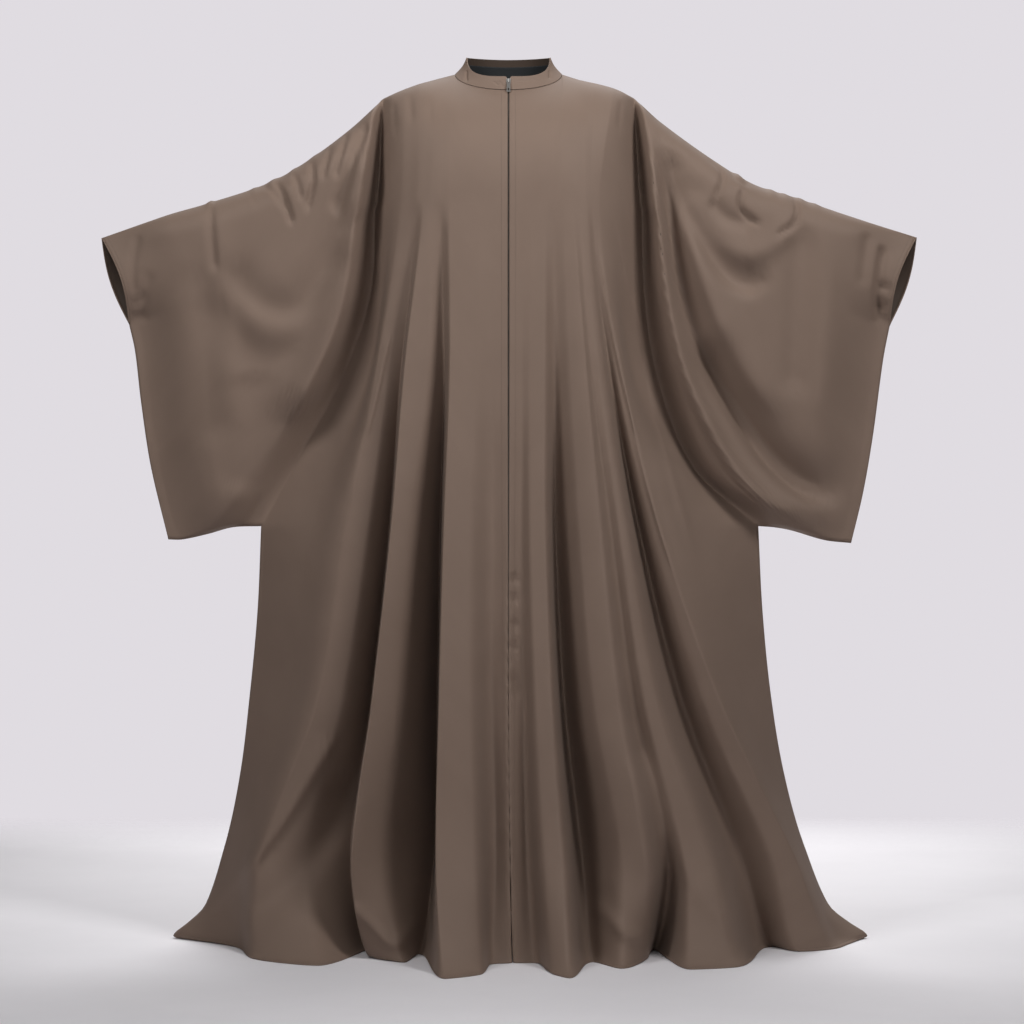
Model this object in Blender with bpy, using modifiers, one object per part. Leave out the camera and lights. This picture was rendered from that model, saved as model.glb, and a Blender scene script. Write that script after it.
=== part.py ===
"""A floor-length batwing abaya, filled out as worn, with its sleeve bags held out to the sides.

The two fronts and the two halves of the back are each cut in one with half a sleeve. Every panel is a loft: a
table of fold lines gives the body's sections at named heights, and the sleeve bag is stretched between the
overarm, the outer edge, the underarm and the deep crease beside the body. A stand collar, its dark facing and a
zip are added to the neck and the centre front. Heights in the tables are taken from the floor under the hem. The
finished pieces are lowered by HELD_HEIGHT, so that the origin lies level with the shoulders that carry the
garment.
"""

import math
from collections import namedtuple

import bmesh
import bpy
import numpy as np
from mathutils import Matrix, Vector

CM = 0.01
MM = 0.001

# Main sizes
HELD_HEIGHT = 1.424
CLOTH = 1.5 * MM
SEAM_GAP = 0.3 * MM
COLLAR_WALL = 2.5 * MM
FACING_WALL = 1.0 * MM
TAPE_WALL = 0.9 * MM
ZIP_HALF_WIDTH = 2.5 * MM
WELD = 0.001 * MM
SHORTEST = 0.01 * MM
TINY = 1e-12
LEAN_MARGIN = 0.25

# Neck and collar, as half-ellipses seen from above
NECK_HALF_WIDTH = 8.8 * CM
NECK_FRONT = 6.75 * CM
NECK_BACK = 6.2 * CM
NECK_FRONT_HEIGHT = 138.9 * CM
NECK_SIDE_HEIGHT = 142.5 * CM
NECK_BACK_HEIGHT = 141.9 * CM
COLLAR_HALF_WIDTH = 6.95 * CM
COLLAR_FRONT = 5.8 * CM
COLLAR_BACK = 5.5 * CM
COLLAR_FRONT_HEIGHT = 141.3 * CM
COLLAR_SIDE_HEIGHT = 145.1 * CM
COLLAR_BACK_HEIGHT = 145.9 * CM
COLLAR_CORNER = 0.6 * CM
COLLAR_BULGE = 0.15 * CM
COLLAR_LIFT = 1.35 * MM
COLLAR_SEAT_ANGLE = math.radians(10)
COLLAR_COLUMNS = 44
COLLAR_ROWS = 3
FACING_DROP = 1.1 * CM
FACING_FOOT = 0.1 * CM
FACING_CLEARANCE = 0.45 * MM

# Heights at which the fold tables give a fold's place, from the bust down to the floor
FOLD_LEVELS = np.array([120, 93, 68, 40, 15, 0]) * CM
HIP_LEVEL = 2
LANDING = 15 * CM
HEM_REST = 1.7 * MM

# The yoke: the power of its slope, how its round part comes in from the centre, and its top behind the collar
YOKE_POWER = 2.87
YOKE_FADE = 4
ROUNDING = {"front": (7 * CM, 15 * CM), "back": (-2 * CM, -1 * CM)}
YOKE_TOP = {"front": ((0.0, 143.1), (4.5, 142.95)), "back": ((0.0, 145.3), (4.5, 144.6))}

# Grid steps: rows above the bust, down to the underarm and down to the hem, and columns across a fold
YOKE_ROWS = 6
BODICE_ROWS = 8
SKIRT_ROWS = 13
FRONT_STEPS = (3, 2, 3, 2, 2, 2, 2, 2, 2, 2)
BACK_STEPS = (3, 4, 2, 2, 2, 2, 2)
SLEEVE_COLUMNS = 15
SLEEVE_CROWDING = 1.3
YOKE_CROWDING = 1.5

# A fold line: its distance out from the centre at the top edge and at each level, and how far it lies before
# the side seams at each level, in centimetres
Fold = namedtuple("Fold", "name top out deep")

LEFT_FRONT = (
    Fold("centre edge", 0.25, (0.25, 0.25, 0.16, 0.10, -0.16, -0.56), (15.0, 15.8, 17.2, 20.0, 22.5, 25.0)),
    Fold("placket hollow", 3.0, (2.3, 2.3, 2.3, 2.3, 1.9, 2.6), (15.0, 15.7, 16.8, 19.3, 22.0, 27.0)),
    Fold("lap pleat, inner", 5.6, (4.9, 5.5, 6.3, 6.2, 5.3, 3.9), (15.0, 16.3, 19.0, 23.2, 27.5, 34.5)),
    Fold("lap pleat, outer", 8.8, (8.9, 9.3, 10.3, 10.9, 10.9, 9.4), (14.6, 16.5, 19.2, 23.6, 28.5, 39.4)),
    Fold("lap valley", 10.4, (9.6, 10.6, 12.2, 12.6, 12.7, 14.2), (14.3, 14.4, 13.6, 13.2, 14.0, 20.5)),
    Fold("thigh pleat, in", 12.0, (11.0, 13.5, 15.4, 17.6, 20.6, 24.3), (14.0, 15.0, 16.4, 18.0, 19.0, 23.0)),
    Fold("thigh pleat, out", 14.0, (13.4, 16.4, 18.3, 21.7, 25.6, 32.8), (13.3, 14.6, 17.0, 20.0, 23.5, 27.2)),
    Fold("hip valley", 15.6, (15.3, 18.6, 21.0, 25.7, 32.7, 41.6), (12.3, 10.5, 11.3, 12.2, 11.5, 9.2)),
    Fold("side pleat", 17.2, (17.8, 21.7, 25.1, 30.4, 40.6, 47.5), (10.4, 10.0, 12.5, 15.0, 15.0, 11.2)),
    Fold("side valley", 19.0, (20.0, 24.6, 30.3, 35.6, 43.7, 52.2), (7.8, 5.0, 8.0, 10.0, 9.0, 5.4)),
    Fold("side", 20.6, (21.7, 27.1, 40.8, 42.7, 46.5, 55.4), (4.0, 3.0, 0.0, 0.0, 0.0, 0.0)),
)
RIGHT_FRONT = (
    Fold("centre edge", 0.25, (0.25, 0.25, 0.16, 0.10, 0.38, 0.78), (15.0, 15.8, 17.2, 20.0, 22.5, 25.0)),
    Fold("placket hollow", 3.0, (2.3, 2.2, 2.2, 2.6, 3.2, 3.9), (15.0, 15.6, 16.4, 18.5, 20.5, 26.0)),
    Fold("placket pleat", 5.8, (5.6, 5.2, 5.0, 5.9, 7.7, 8.6), (15.0, 16.0, 18.0, 21.5, 26.2, 38.8)),
    Fold("lap valley", 8.8, (7.8, 7.8, 8.7, 10.8, 14.3, 20.6), (14.75, 14.2, 13.0, 13.2, 14.5, 25.5)),
    Fold("lap pleat", 10.4, (9.6, 11.4, 13.2, 15.0, 22.1, 29.3), (14.5, 16.0, 18.0, 21.0, 25.0, 33.0)),
    Fold("thigh hollow", 12.0, (10.9, 12.7, 16.0, 18.9, 31.1, 42.2), (14.2, 15.2, 16.9, 18.0, 18.6, 17.8)),
    Fold("thigh pleat", 14.0, (12.1, 14.4, 19.0, 23.1, 36.6, 48.4), (13.85, 15.0, 17.0, 19.5, 18.5, 13.3)),
    Fold("hip valley", 15.6, (13.4, 16.6, 22.1, 31.4, 42.2, 52.6), (13.3, 11.5, 12.0, 12.0, 9.5, 9.0)),
    Fold("side pleat", 17.2, (15.0, 18.6, 24.9, 34.1, 45.5, 56.0), (12.4, 12.5, 14.0, 14.0, 9.8, 6.0)),
    Fold("side plane", 19.0, (18.0, 21.6, 31.8, 38.9, 48.0, 57.8), (9.2, 7.0, 8.0, 7.5, 5.0, 3.0)),
    Fold("side", 20.6, (21.7, 24.4, 41.2, 43.3, 49.6, 59.3), (4.0, 3.0, 0.0, 0.0, 0.0, 0.0)),
)
LEFT_BACK = (
    Fold("centre", 0.0, (0.0, 0.0, 0.0, 0.0, 0.0, 0.0), (12.0, 12.5, 15.0, 19.5, 25.5, 31.0)),
    Fold("seat valley", 5.0, (4.5, 5.0, 5.5, 6.5, 7.5, 8.5), (11.9, 12.0, 12.4, 13.2, 16.0, 22.5)),
    Fold("seat pleat", 8.8, (8.6, 9.6, 11.0, 13.5, 16.0, 18.0), (11.6, 12.4, 15.0, 19.2, 25.0, 32.5)),
    Fold("hip valley", 12.0, (12.2, 13.8, 16.0, 19.5, 22.5, 25.0), (10.8, 10.2, 10.6, 12.0, 14.0, 18.5)),
    Fold("hip pleat", 15.0, (15.4, 17.8, 21.5, 26.5, 31.0, 35.5), (9.6, 10.2, 12.8, 16.2, 20.0, 24.5)),
    Fold("side valley", 17.8, (18.4, 21.6, 28.5, 33.5, 38.5, 44.5), (7.6, 6.2, 8.2, 8.6, 9.0, 11.0)),
    Fold("side pleat", 19.4, (20.2, 24.6, 35.5, 38.5, 43.5, 51.0), (5.8, 4.6, 6.0, 6.6, 6.4, 7.2)),
    Fold("side", 20.6, (21.7, 27.1, 40.8, 42.7, 46.5, 55.4), (4.0, 3.0, 0.0, 0.0, 0.0, 0.0)),
)
RIGHT_BACK = (
    Fold("centre", 0.0, (0.0, 0.0, 0.0, 0.0, 0.0, 0.0), (12.0, 12.5, 15.0, 19.5, 25.5, 31.0)),
    Fold("seat valley", 5.0, (4.2, 4.4, 5.0, 6.0, 7.5, 9.0), (11.9, 12.1, 12.8, 14.0, 17.0, 23.0)),
    Fold("seat pleat", 8.8, (8.4, 8.8, 9.8, 12.0, 15.0, 18.5), (11.6, 12.6, 15.4, 20.0, 25.5, 32.0)),
    Fold("hip valley", 12.0, (11.8, 13.0, 15.0, 18.0, 22.0, 26.5), (10.8, 10.0, 10.4, 11.2, 13.0, 17.0)),
    Fold("hip pleat", 15.0, (15.0, 16.8, 20.5, 25.0, 31.0, 38.0), (9.6, 10.4, 13.2, 16.6, 19.5, 23.0)),
    Fold("side valley", 17.8, (18.2, 20.2, 27.5, 32.5, 39.5, 47.0), (7.6, 6.0, 8.0, 8.0, 8.2, 9.5)),
    Fold("side pleat", 19.4, (20.0, 22.4, 35.0, 38.5, 45.5, 54.0), (5.8, 4.6, 5.8, 6.2, 5.8, 5.5)),
    Fold("side", 20.6, (21.7, 24.4, 41.2, 43.3, 49.6, 59.3), (4.0, 3.0, 0.0, 0.0, 0.0, 0.0)),
)

# Outlines of each half seen from the front: distance out and height over the floor, in centimetres
OVERARM = {
    "left": ((8.8, 142.5), (14.6, 140.9), (20.6, 138.5), (22.0, 137.1), (26.2, 133.3), (32.8, 128.4),
             (39.2, 124.7), (49.6, 121.2), (56.2, 119.3), (67.1, 115.5)),
    "right": ((8.8, 142.5), (12.0, 141.5), (17.4, 140.1), (20.6, 138.6), (21.7, 137.6), (25.0, 134.6),
              (33.6, 128.4), (40.3, 124.4), (47.4, 122.1), (56.0, 119.2), (67.3, 115.6)),
}
SLEEVE_EDGE = {
    "left": ((62.6, 101.4), (61.6, 96.9), (60.6, 88.4), (59.0, 77.9), (56.1, 65.8)),
    "right": ((62.9, 101.2), (61.8, 95.5), (60.1, 82.9), (58.5, 73.6), (56.5, 65.2)),
}
SLEEVE_FOOT = {
    "left": ((56.1, 65.8), (53.8, 65.8), (49.6, 66.7), (45.5, 67.8), (40.8, 68.0)),
    "right": ((56.5, 65.2), (52.1, 65.7), (46.6, 67.3), (43.8, 67.8), (41.2, 68.0)),
}
# How far the cuff's front and back edges bow in from a straight line, and how far they stand apart
CUFF_BOW = {"front": 1.3 * CM, "back": -1.2 * CM}
CUFF_OPEN = 2.6 * CM

# The deep crease between body and sleeve at heights between the fold levels: distance out and height
ARM_CREASE = {
    "left": ((21.9, 120.0), (22.7, 106.0), (27.1, 93.0), (33.9, 80.5), (40.8, 68.0)),
    "right": ((21.9, 120.0), (22.4, 106.0), (24.4, 93.0), (30.6, 77.5), (41.2, 68.0)),
}

# The side seam from the underarm to the floor: distance out and level
SIDE_SEAM = {
    "left": ((40.8, 68.0), (41.4, 54.0), (42.7, 40.0), (44.3, 27.0), (46.9, 15.0), (50.0, 7.0), (55.4, 0.0)),
    "right": ((41.2, 68.0), (41.9, 54.0), (43.3, 40.0), (45.5, 27.0), (48.9, 15.0), (52.8, 7.0), (59.3, 0.0)),
}

# Half the thickness of the sleeve under the arm, from the shoulder out to the cuff: distance out and size
ARM_ROOM = ((20.0, 6.2), (30.0, 6.0), (45.0, 5.2), (56.0, 4.2), (67.0, 3.0))
ARM_SLACK = 0.35
FOOT_ROUNDING = 6 * CM
EDGE_ROUNDING = 11 * CM
CREASE_RISE = 4.5 * CM

SWAG_SAMPLES = 32
SWAG_FADE = 0.6

# Swags of the sleeve bags: three points of a curve (out, height), half-width and height of the fold over the
# cloth round it, in centimetres; a trough has a negative height
Swag = namedtuple("Swag", "name start middle end half_width rise")
SWAGS = {
    ("left", "front"): (
        Swag("crease edge", (21.5, 134.0), (26.0, 106.0), (42.0, 72.0), 3.4, 3.2),
        Swag("shoulder trough", (22.6, 134.0), (26.4, 121.5), (32.5, 107.0), 1.8, -2.0),
        Swag("upper swag", (46.0, 114.0), (37.5, 101.0), (27.5, 116.0), 3.0, 1.4),
        Swag("upper trough", (45.0, 106.0), (38.0, 98.0), (29.5, 106.0), 2.6, -1.8),
        Swag("lower swag", (47.5, 104.0), (38.5, 79.0), (27.5, 101.0), 4.0, 1.4),
        Swag("foot trough", (49.5, 84.0), (43.5, 75.0), (38.0, 73.0), 2.8, -1.2),
    ),
    ("right", "front"): (
        Swag("crease edge", (22.2, 128.0), (25.5, 98.0), (46.0, 69.5), 2.2, 3.2),
        Swag("long trough", (23.8, 131.0), (30.5, 96.0), (52.0, 72.0), 2.2, -2.6),
        Swag("long ridge", (25.6, 126.0), (33.5, 96.0), (47.0, 82.0), 3.0, 2.0),
        Swag("upper trough", (27.0, 126.0), (31.0, 112.0), (39.0, 107.0), 2.0, -2.0),
        Swag("upper swag", (30.0, 118.0), (37.5, 108.5), (46.5, 117.0), 2.6, 1.4),
        Swag("foot trough", (45.0, 76.0), (50.0, 74.0), (56.5, 73.5), 2.4, -0.8),
    ),
    ("left", "back"): (
        Swag("crease edge", (21.5, 132.0), (25.5, 104.0), (42.0, 72.0), 3.2, 2.6),
        Swag("upper trough", (47.0, 110.0), (38.0, 99.0), (27.5, 112.0), 2.8, -1.6),
        Swag("lower swag", (48.5, 102.0), (39.5, 80.0), (28.5, 98.0), 3.8, 1.4),
    ),
    ("right", "back"): (
        Swag("crease edge", (22.0, 130.0), (25.0, 101.0), (43.5, 71.0), 3.0, 2.6),
        Swag("upper trough", (26.5, 116.0), (36.0, 101.5), (47.5, 113.0), 2.6, -1.6),
        Swag("lower swag", (27.0, 101.0), (37.0, 83.0), (49.5, 99.0), 3.8, 1.4),
    ),
}

# Zip
ZIP_FOOT_HEIGHT = 46 * CM
TAPE_COLUMNS = 3
TAPE_EDGE = 0.5 * MM
POST_CLEARANCE = 1.2 * MM
SLIDER_HEIGHT = 140.35 * CM
SLIDER_LENGTH = 10.4 * MM
SLIDER_TOP_WIDTH = 8.0 * MM
SLIDER_FOOT_WIDTH = 6.0 * MM
SLIDER_PLATE = 1.1 * MM
SLIDER_CORNER = 1.4 * MM
SLIDER_POST_WIDTH = 1.5 * MM
SLIDER_POST_LENGTH = 4.0 * MM
CORNER_STEPS = 4
BRIDGE_WIDTH = 1.8 * MM
BRIDGE_HALF_LENGTH = 3.4 * MM
BRIDGE_HEIGHT = 3.0 * MM
BRIDGE_BAR = 0.8 * MM
BRIDGE_STEPS = 10
PIVOT_STAND_OFF = 1.15 * MM
PULL_BAR = 1.0 * MM
PULL_EYE_WIDTH = 2.8 * MM
PULL_EYE_LENGTH = 4.6 * MM
PULL_EYE_CORNER = 0.25 * MM
PULL_HEAD_WIDTH = 5.0 * MM
PULL_FOOT_WIDTH = 6.4 * MM
PULL_LENGTH = 23.0 * MM
PULL_CORNER = 1.2 * MM
PULL_SLOT_WIDTH = 2.2 * MM
PULL_SLOT_TOP = 8.0 * MM
PULL_SLOT_FOOT = 2.4 * MM
PULL_SLOT_CORNER = 1.0 * MM
PULL_REST_TILT = math.radians(29)

# Finishes: base colour, roughness and metallic value
CREPE = ((0.205, 0.152, 0.118, 1.0), 0.72, 0.0)
DARK_FACING = ((0.022, 0.024, 0.026, 1.0), 0.80, 0.0)
ZIP_TAPE = ((0.120, 0.098, 0.084, 1.0), 0.80, 0.0)
ZIP_METAL = ((0.62, 0.61, 0.59, 1.0), 0.30, 1.0)


def clear_scene():
    """Remove every object of the open scene."""
    for obj in list(bpy.data.objects):
        bpy.data.objects.remove(obj, do_unlink=True)


def smooth_step(t):
    """Zero below 0, one above 1, and an S curve between."""
    t = np.clip(t, 0.0, 1.0)
    return t * t * (3.0 - 2.0 * t)


def hermite(start, end, start_slope, end_slope, t):
    """The cubic from start to end that has these slopes, at t from 0 to 1."""
    return (
        start * (2 * t**3 - 3 * t**2 + 1)
        + start_slope * (t**3 - 2 * t**2 + t)
        + end * (3 * t**2 - 2 * t**3)
        + end_slope * (t**3 - t**2)
    )


def through(knots, values, at):
    """A smooth curve through values at rising knots, read at the places `at`. Its slope at a knot is that of
    the line between the knots on either side. Knots and places may differ from column to column."""
    knots, values, at = (np.asarray(item, float) for item in (knots, values, at))
    slopes = np.empty_like(values)
    slopes[1:-1] = (values[2:] - values[:-2]) / (knots[2:] - knots[:-2])
    slopes[0] = (values[1] - values[0]) / (knots[1] - knots[0])
    slopes[-1] = (values[-1] - values[-2]) / (knots[-1] - knots[-2])
    result = np.zeros(np.broadcast(at, values[0]).shape)
    for k in range(len(knots) - 1):
        span = knots[k + 1] - knots[k]
        t = (at - knots[k]) / span
        piece = hermite(values[k], values[k + 1], slopes[k] * span, slopes[k + 1] * span, t)
        inside = (t >= 0) & ((t < 1) | (k == len(knots) - 2)) if k else t < 1
        result = np.where(inside, piece, result)
    return result


def outline(points, at):
    """The second coordinate, in metres, of a table of centimetre points where the first one is `at` metres."""
    table = np.array(sorted(tuple(point) for point in points)) * CM
    return through(table[:, 0], table[:, 1], np.clip(at, table[0, 0], table[-1, 0]))


def along(points, fractions):
    """Points in metres at these fractions of the length of a line through a table of centimetre points."""
    table = np.array(points) * CM
    length = np.concatenate([[0.0], np.cumsum(np.linalg.norm(np.diff(table, axis=0), axis=1))])
    places = np.asarray(fractions) * length[-1]
    return np.stack([through(length, table[:, axis], places) for axis in (0, 1)], axis=-1)


def across_folds(lines, steps):
    """Sections between fold lines: lines is (rows, folds, 2) and each gap between neighbours gets its number
    of steps. Slopes are taken by length along the section and vanish where it turns, so no fold overshoots."""
    gaps = np.diff(lines, axis=1)
    chords = np.maximum(np.linalg.norm(gaps, axis=2, keepdims=True), SHORTEST)
    secants = gaps / chords
    before, after = secants[:, :-1], secants[:, 1:]
    same_way = before * after > 0
    means = np.where(same_way, 2 * before * after / np.where(same_way, before + after, 1.0), 0.0)
    slopes = np.concatenate([secants[:, :1], means, secants[:, -1:]], axis=1)
    pieces = []
    for k, count in enumerate(steps):
        t = (np.arange(count) / count)[None, :, None]
        start, end = lines[:, k : k + 1], lines[:, k + 1 : k + 2]
        reach = chords[:, k : k + 1]
        pieces.append(hermite(start, end, slopes[:, k : k + 1] * reach, slopes[:, k + 1 : k + 2] * reach, t))
    return np.concatenate(pieces + [lines[:, -1:]], axis=1)


def neck_point(out, face):
    """Depth and height of the neck seam at a distance out from the centre, on the front or the back."""
    cosine = np.sqrt(np.clip(1.0 - (out / NECK_HALF_WIDTH) ** 2, 0.0, 1.0))
    depth = NECK_FRONT if face == "front" else NECK_BACK
    middle = NECK_FRONT_HEIGHT if face == "front" else NECK_BACK_HEIGHT
    return depth * cosine, middle + (NECK_SIDE_HEIGHT - middle) * (1.0 - cosine)


def landed(level):
    """Height of the cloth where a section's level is `level`: the same down to LANDING, and below it
    flattening out, so that the hem comes to lie along the floor."""
    share = np.clip(level / LANDING, 0.0, 1.0)
    flattened = HEM_REST + (LANDING - HEM_REST) * share**2 * (2.0 - share)
    return np.where(level < LANDING, flattened, level)


def yoke_depth(side, face, x, z, bust_depth):
    """Depth of the yoke, as a share of its depth at the bust: steep over the collarbone, and a quarter circle
    farther out. The share is 0 at the top of the shoulders and 1 at the bust."""
    top = outline(YOKE_TOP[face] + OVERARM[side], x)
    left = 1.0 - np.clip((top - z) / (top - FOLD_LEVELS[0]), 0.0, 1.0)
    start, end = ROUNDING[face]
    roundness = smooth_step((x - start) / (end - start))
    slope = 1.0 - left**YOKE_POWER
    return bust_depth * (slope + (np.sqrt(1.0 - left**2) - slope) * roundness)


def body_block(side, face, folds, steps):
    """Distance out, depth and height of the body's points, as rows by columns, and the neck point's column."""
    top = np.array([fold.top for fold in folds]) * CM
    out = np.array([fold.out for fold in folds]).T * CM
    deep = np.array([fold.deep for fold in folds]).T * CM
    crease = np.array(ARM_CREASE[side]) * CM
    neck_depth, neck_height = neck_point(top, face)
    on_neck = top <= NECK_HALF_WIDTH + SHORTEST
    top_height = np.where(on_neck, neck_height, outline(OVERARM[side], top))

    bust, hip = FOLD_LEVELS[0], FOLD_LEVELS[HIP_LEVEL]
    yoke = (np.arange(YOKE_ROWS) / YOKE_ROWS) ** YOKE_CROWDING
    bodice = bust + (hip - bust) * np.arange(BODICE_ROWS) / BODICE_ROWS
    skirt = hip * (1.0 - np.arange(SKIRT_ROWS + 1) / SKIRT_ROWS)
    levels = np.concatenate([bodice, skirt])

    yoke_levels = top_height + (bust - top_height) * yoke[:, None]
    row_levels = np.concatenate([yoke_levels, np.repeat(levels[:, None], len(top), axis=1)])
    knots = np.concatenate([np.repeat(FOLD_LEVELS[::-1, None], len(top), axis=1), top_height[None]])
    line_out = through(knots, np.concatenate([out[::-1], top[None]]), row_levels)
    line_deep = through(FOLD_LEVELS[::-1, None], deep[::-1], np.minimum(row_levels, bust))
    armpit = slice(YOKE_ROWS, YOKE_ROWS + BODICE_ROWS + 1)
    line_out[armpit, -1] = outline(np.array(ARM_CREASE[side])[:, ::-1], row_levels[armpit, -1])
    below = slice(YOKE_ROWS + BODICE_ROWS, None)
    line_out[below, -1] = outline(np.array(SIDE_SEAM[side])[:, ::-1], row_levels[below, -1])

    section = across_folds(np.stack([line_out, line_deep], axis=-1), steps)
    x, y = section[..., 0], section[..., 1]
    neck_folds = int(on_neck.sum())
    corner_column = sum(steps[: neck_folds - 1])
    on_neck_seam = np.arange(x.shape[1]) <= corner_column
    places = [k + np.arange(count) / count for k, count in enumerate(steps[: neck_folds - 1])]
    fold_angles = np.arcsin(np.minimum(top[:neck_folds] / NECK_HALF_WIDTH, 1.0))
    angles = np.interp(np.concatenate(places), np.arange(neck_folds), fold_angles)
    shift = NECK_HALF_WIDTH * np.sin(angles) - x[0, :corner_column]
    x[:YOKE_ROWS, :corner_column] += shift * (1.0 - yoke[:, None])
    edge_depth, edge_height = neck_point(x[0], face)
    edge_height = np.where(on_neck_seam, edge_height, outline(OVERARM[side], x[0]))
    edge_depth = np.where(on_neck_seam, edge_depth, 0.0)

    z = np.repeat(landed(row_levels[:, :1]), x.shape[1], axis=1)
    z[:YOKE_ROWS] = edge_height + (bust - edge_height) * yoke[:, None]
    rounded = yoke_depth(side, face, x[:YOKE_ROWS], z[:YOKE_ROWS], y[YOKE_ROWS])
    y[:YOKE_ROWS] = rounded + (edge_depth - rounded[:1]) * (1.0 - yoke[:, None]) ** YOKE_FADE
    return np.stack([x, y, z], axis=-1), corner_column


def swag_rise(out, height, swags):
    """How far the swags lift the cloth: each is a ridge or trough of bell section along a parabola through
    its three points, fading to nothing at both ends."""
    rise = np.zeros_like(out)
    t = np.linspace(0.0, 1.0, SWAG_SAMPLES)[:, None]
    for swag in swags:
        start, middle, end = (np.array(point) * CM for point in (swag.start, swag.middle, swag.end))
        pull = 2.0 * middle - 0.5 * (start + end)
        path = start * (1 - t) ** 2 + pull * 2 * t * (1 - t) + end * t**2
        distance = np.linalg.norm(np.stack([out, height], axis=-1)[..., None, :] - path, axis=-1)
        fade = np.sin(np.pi * (distance.argmin(axis=-1) + 0.5) / SWAG_SAMPLES) ** SWAG_FADE
        rise += swag.rise * CM * fade * np.exp(-((distance.min(axis=-1) / (swag.half_width * CM)) ** 2))
    return rise


def sleeve_edges(side, face, crease_line, u, v):
    """The sleeve's four edges seen from the front, and how far along the cuff each row ends, from 0 to 1."""
    shoulder = crease_line[0, 0]
    arm_out = shoulder + (OVERARM[side][-1][0] * CM - shoulder) * u
    overarm = np.stack([arm_out, outline(OVERARM[side], arm_out)], axis=-1)
    foot = along(SLEEVE_FOOT[side][::-1], u)
    tip, cuff_foot = np.array(OVERARM[side][-1]) * CM, np.array(SLEEVE_EDGE[side][0]) * CM
    cuff_length = np.linalg.norm(tip - cuff_foot)
    edge_length = np.linalg.norm(np.diff(np.array(SLEEVE_EDGE[side]) * CM, axis=0), axis=1).sum()
    reach = v * (cuff_length + edge_length)
    in_cuff = np.clip(reach / cuff_length, 0.0, 1.0)
    cuff = tip + (cuff_foot - tip) * in_cuff[:, None]
    cuff[:, 0] -= CUFF_BOW[face] * np.sin(np.pi * in_cuff)
    below = along(SLEEVE_EDGE[side], np.clip((reach - cuff_length) / edge_length, 0.0, 1.0))
    outer = np.where((reach < cuff_length)[:, None], cuff, below)
    foot[0], foot[-1] = crease_line[-1, ::2], outer[-1]
    return overarm, foot, outer, in_cuff


def sleeve_block(side, face, crease_line):
    """Distance out, depth and height of the sleeve's points. Rows start at the overarm and columns at the
    crease beside the body. The sheet is stretched between its four edges, then rounded over the arm and at its
    foot."""
    steps = np.linalg.norm(np.diff(crease_line[:, ::2], axis=0), axis=1)
    v = np.concatenate([[0.0], np.cumsum(steps)]) / steps.sum()
    u = (np.arange(SLEEVE_COLUMNS + 1) / SLEEVE_COLUMNS) ** SLEEVE_CROWDING
    overarm, foot, outer, in_cuff = sleeve_edges(side, face, crease_line, u, v)

    u, v = u[None, :, None], v[:, None, None]
    inner, outer_line = crease_line[:, None, ::2], outer[:, None]
    upper = (1 - u) * overarm[0] + u * overarm[-1]
    lower = (1 - u) * foot[0] + u * foot[-1]
    plan = (1 - u) * inner + u * outer_line + (1 - v) * (overarm[None] - upper) + v * (foot[None] - lower)
    out, height = plan[..., 0], plan[..., 1]

    sizes = np.array(ARM_ROOM) * CM
    room = np.interp(out, sizes[:, 0], sizes[:, 1])
    drop = np.maximum(outline(OVERARM[side], out) - height, 0.0)
    lift = np.maximum(height - outline(SLEEVE_FOOT[side], out), 0.0)
    over = np.sqrt(1.0 - (1.0 - np.clip(drop / room, 0.0, 1.0)) ** 2)
    under = np.sqrt(1.0 - (1.0 - np.clip(lift / FOOT_ROUNDING, 0.0, 1.0)) ** 2)
    slack = 1.0 - ARM_SLACK * smooth_step((drop - room) / (drop + lift + room))
    from_edge = smooth_step((outer[:, :1] - out) / EDGE_ROUNDING)
    ajar = CUFF_OPEN * np.sin(np.pi * in_cuff)[:, None] * (1.0 - from_edge)
    swags = swag_rise(out, height, SWAGS[side, face])
    deep = (room * slack + swags) * over * under * from_edge + ajar
    near = smooth_step((out - crease_line[:, :1]) / CREASE_RISE)
    deep = crease_line[:, 1:2] + (deep - crease_line[:, 1:2]) * near
    sewn = in_cuff >= 1.0
    sewn[0] = True
    return np.stack([out, deep, height], axis=-1), sewn


def vertex_normals(points):
    """Unit normals of a grid of points (rows, columns, 3), by central differences."""
    normals = np.cross(np.gradient(points, axis=0), np.gradient(points, axis=1))
    return normals / np.maximum(np.linalg.norm(normals, axis=-1, keepdims=True), TINY)


def leave_seam(points, seam):
    """Keep the wall inside a grid's points half a seam gap clear of the plane between front and back. Points
    on the seam come as near as the cloth's lean lets them."""
    lean = np.abs(vertex_normals(points)[..., 1])
    closest = SEAM_GAP / 2 + CLOTH * np.minimum(lean + LEAN_MARGIN, 1.0)
    points[..., 1] = np.where(seam, closest, np.maximum(points[..., 1], SEAM_GAP / 2 + CLOTH))


def leave_centre_seam(points):
    """Keep the wall inside a half of the back clear of the other half, along its first column."""
    lean = np.abs(vertex_normals(points)[:, 0, 0])
    points[:, 0, 0] = SEAM_GAP / 2 + CLOTH * np.minimum(lean + LEAN_MARGIN, 1.0)


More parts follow.
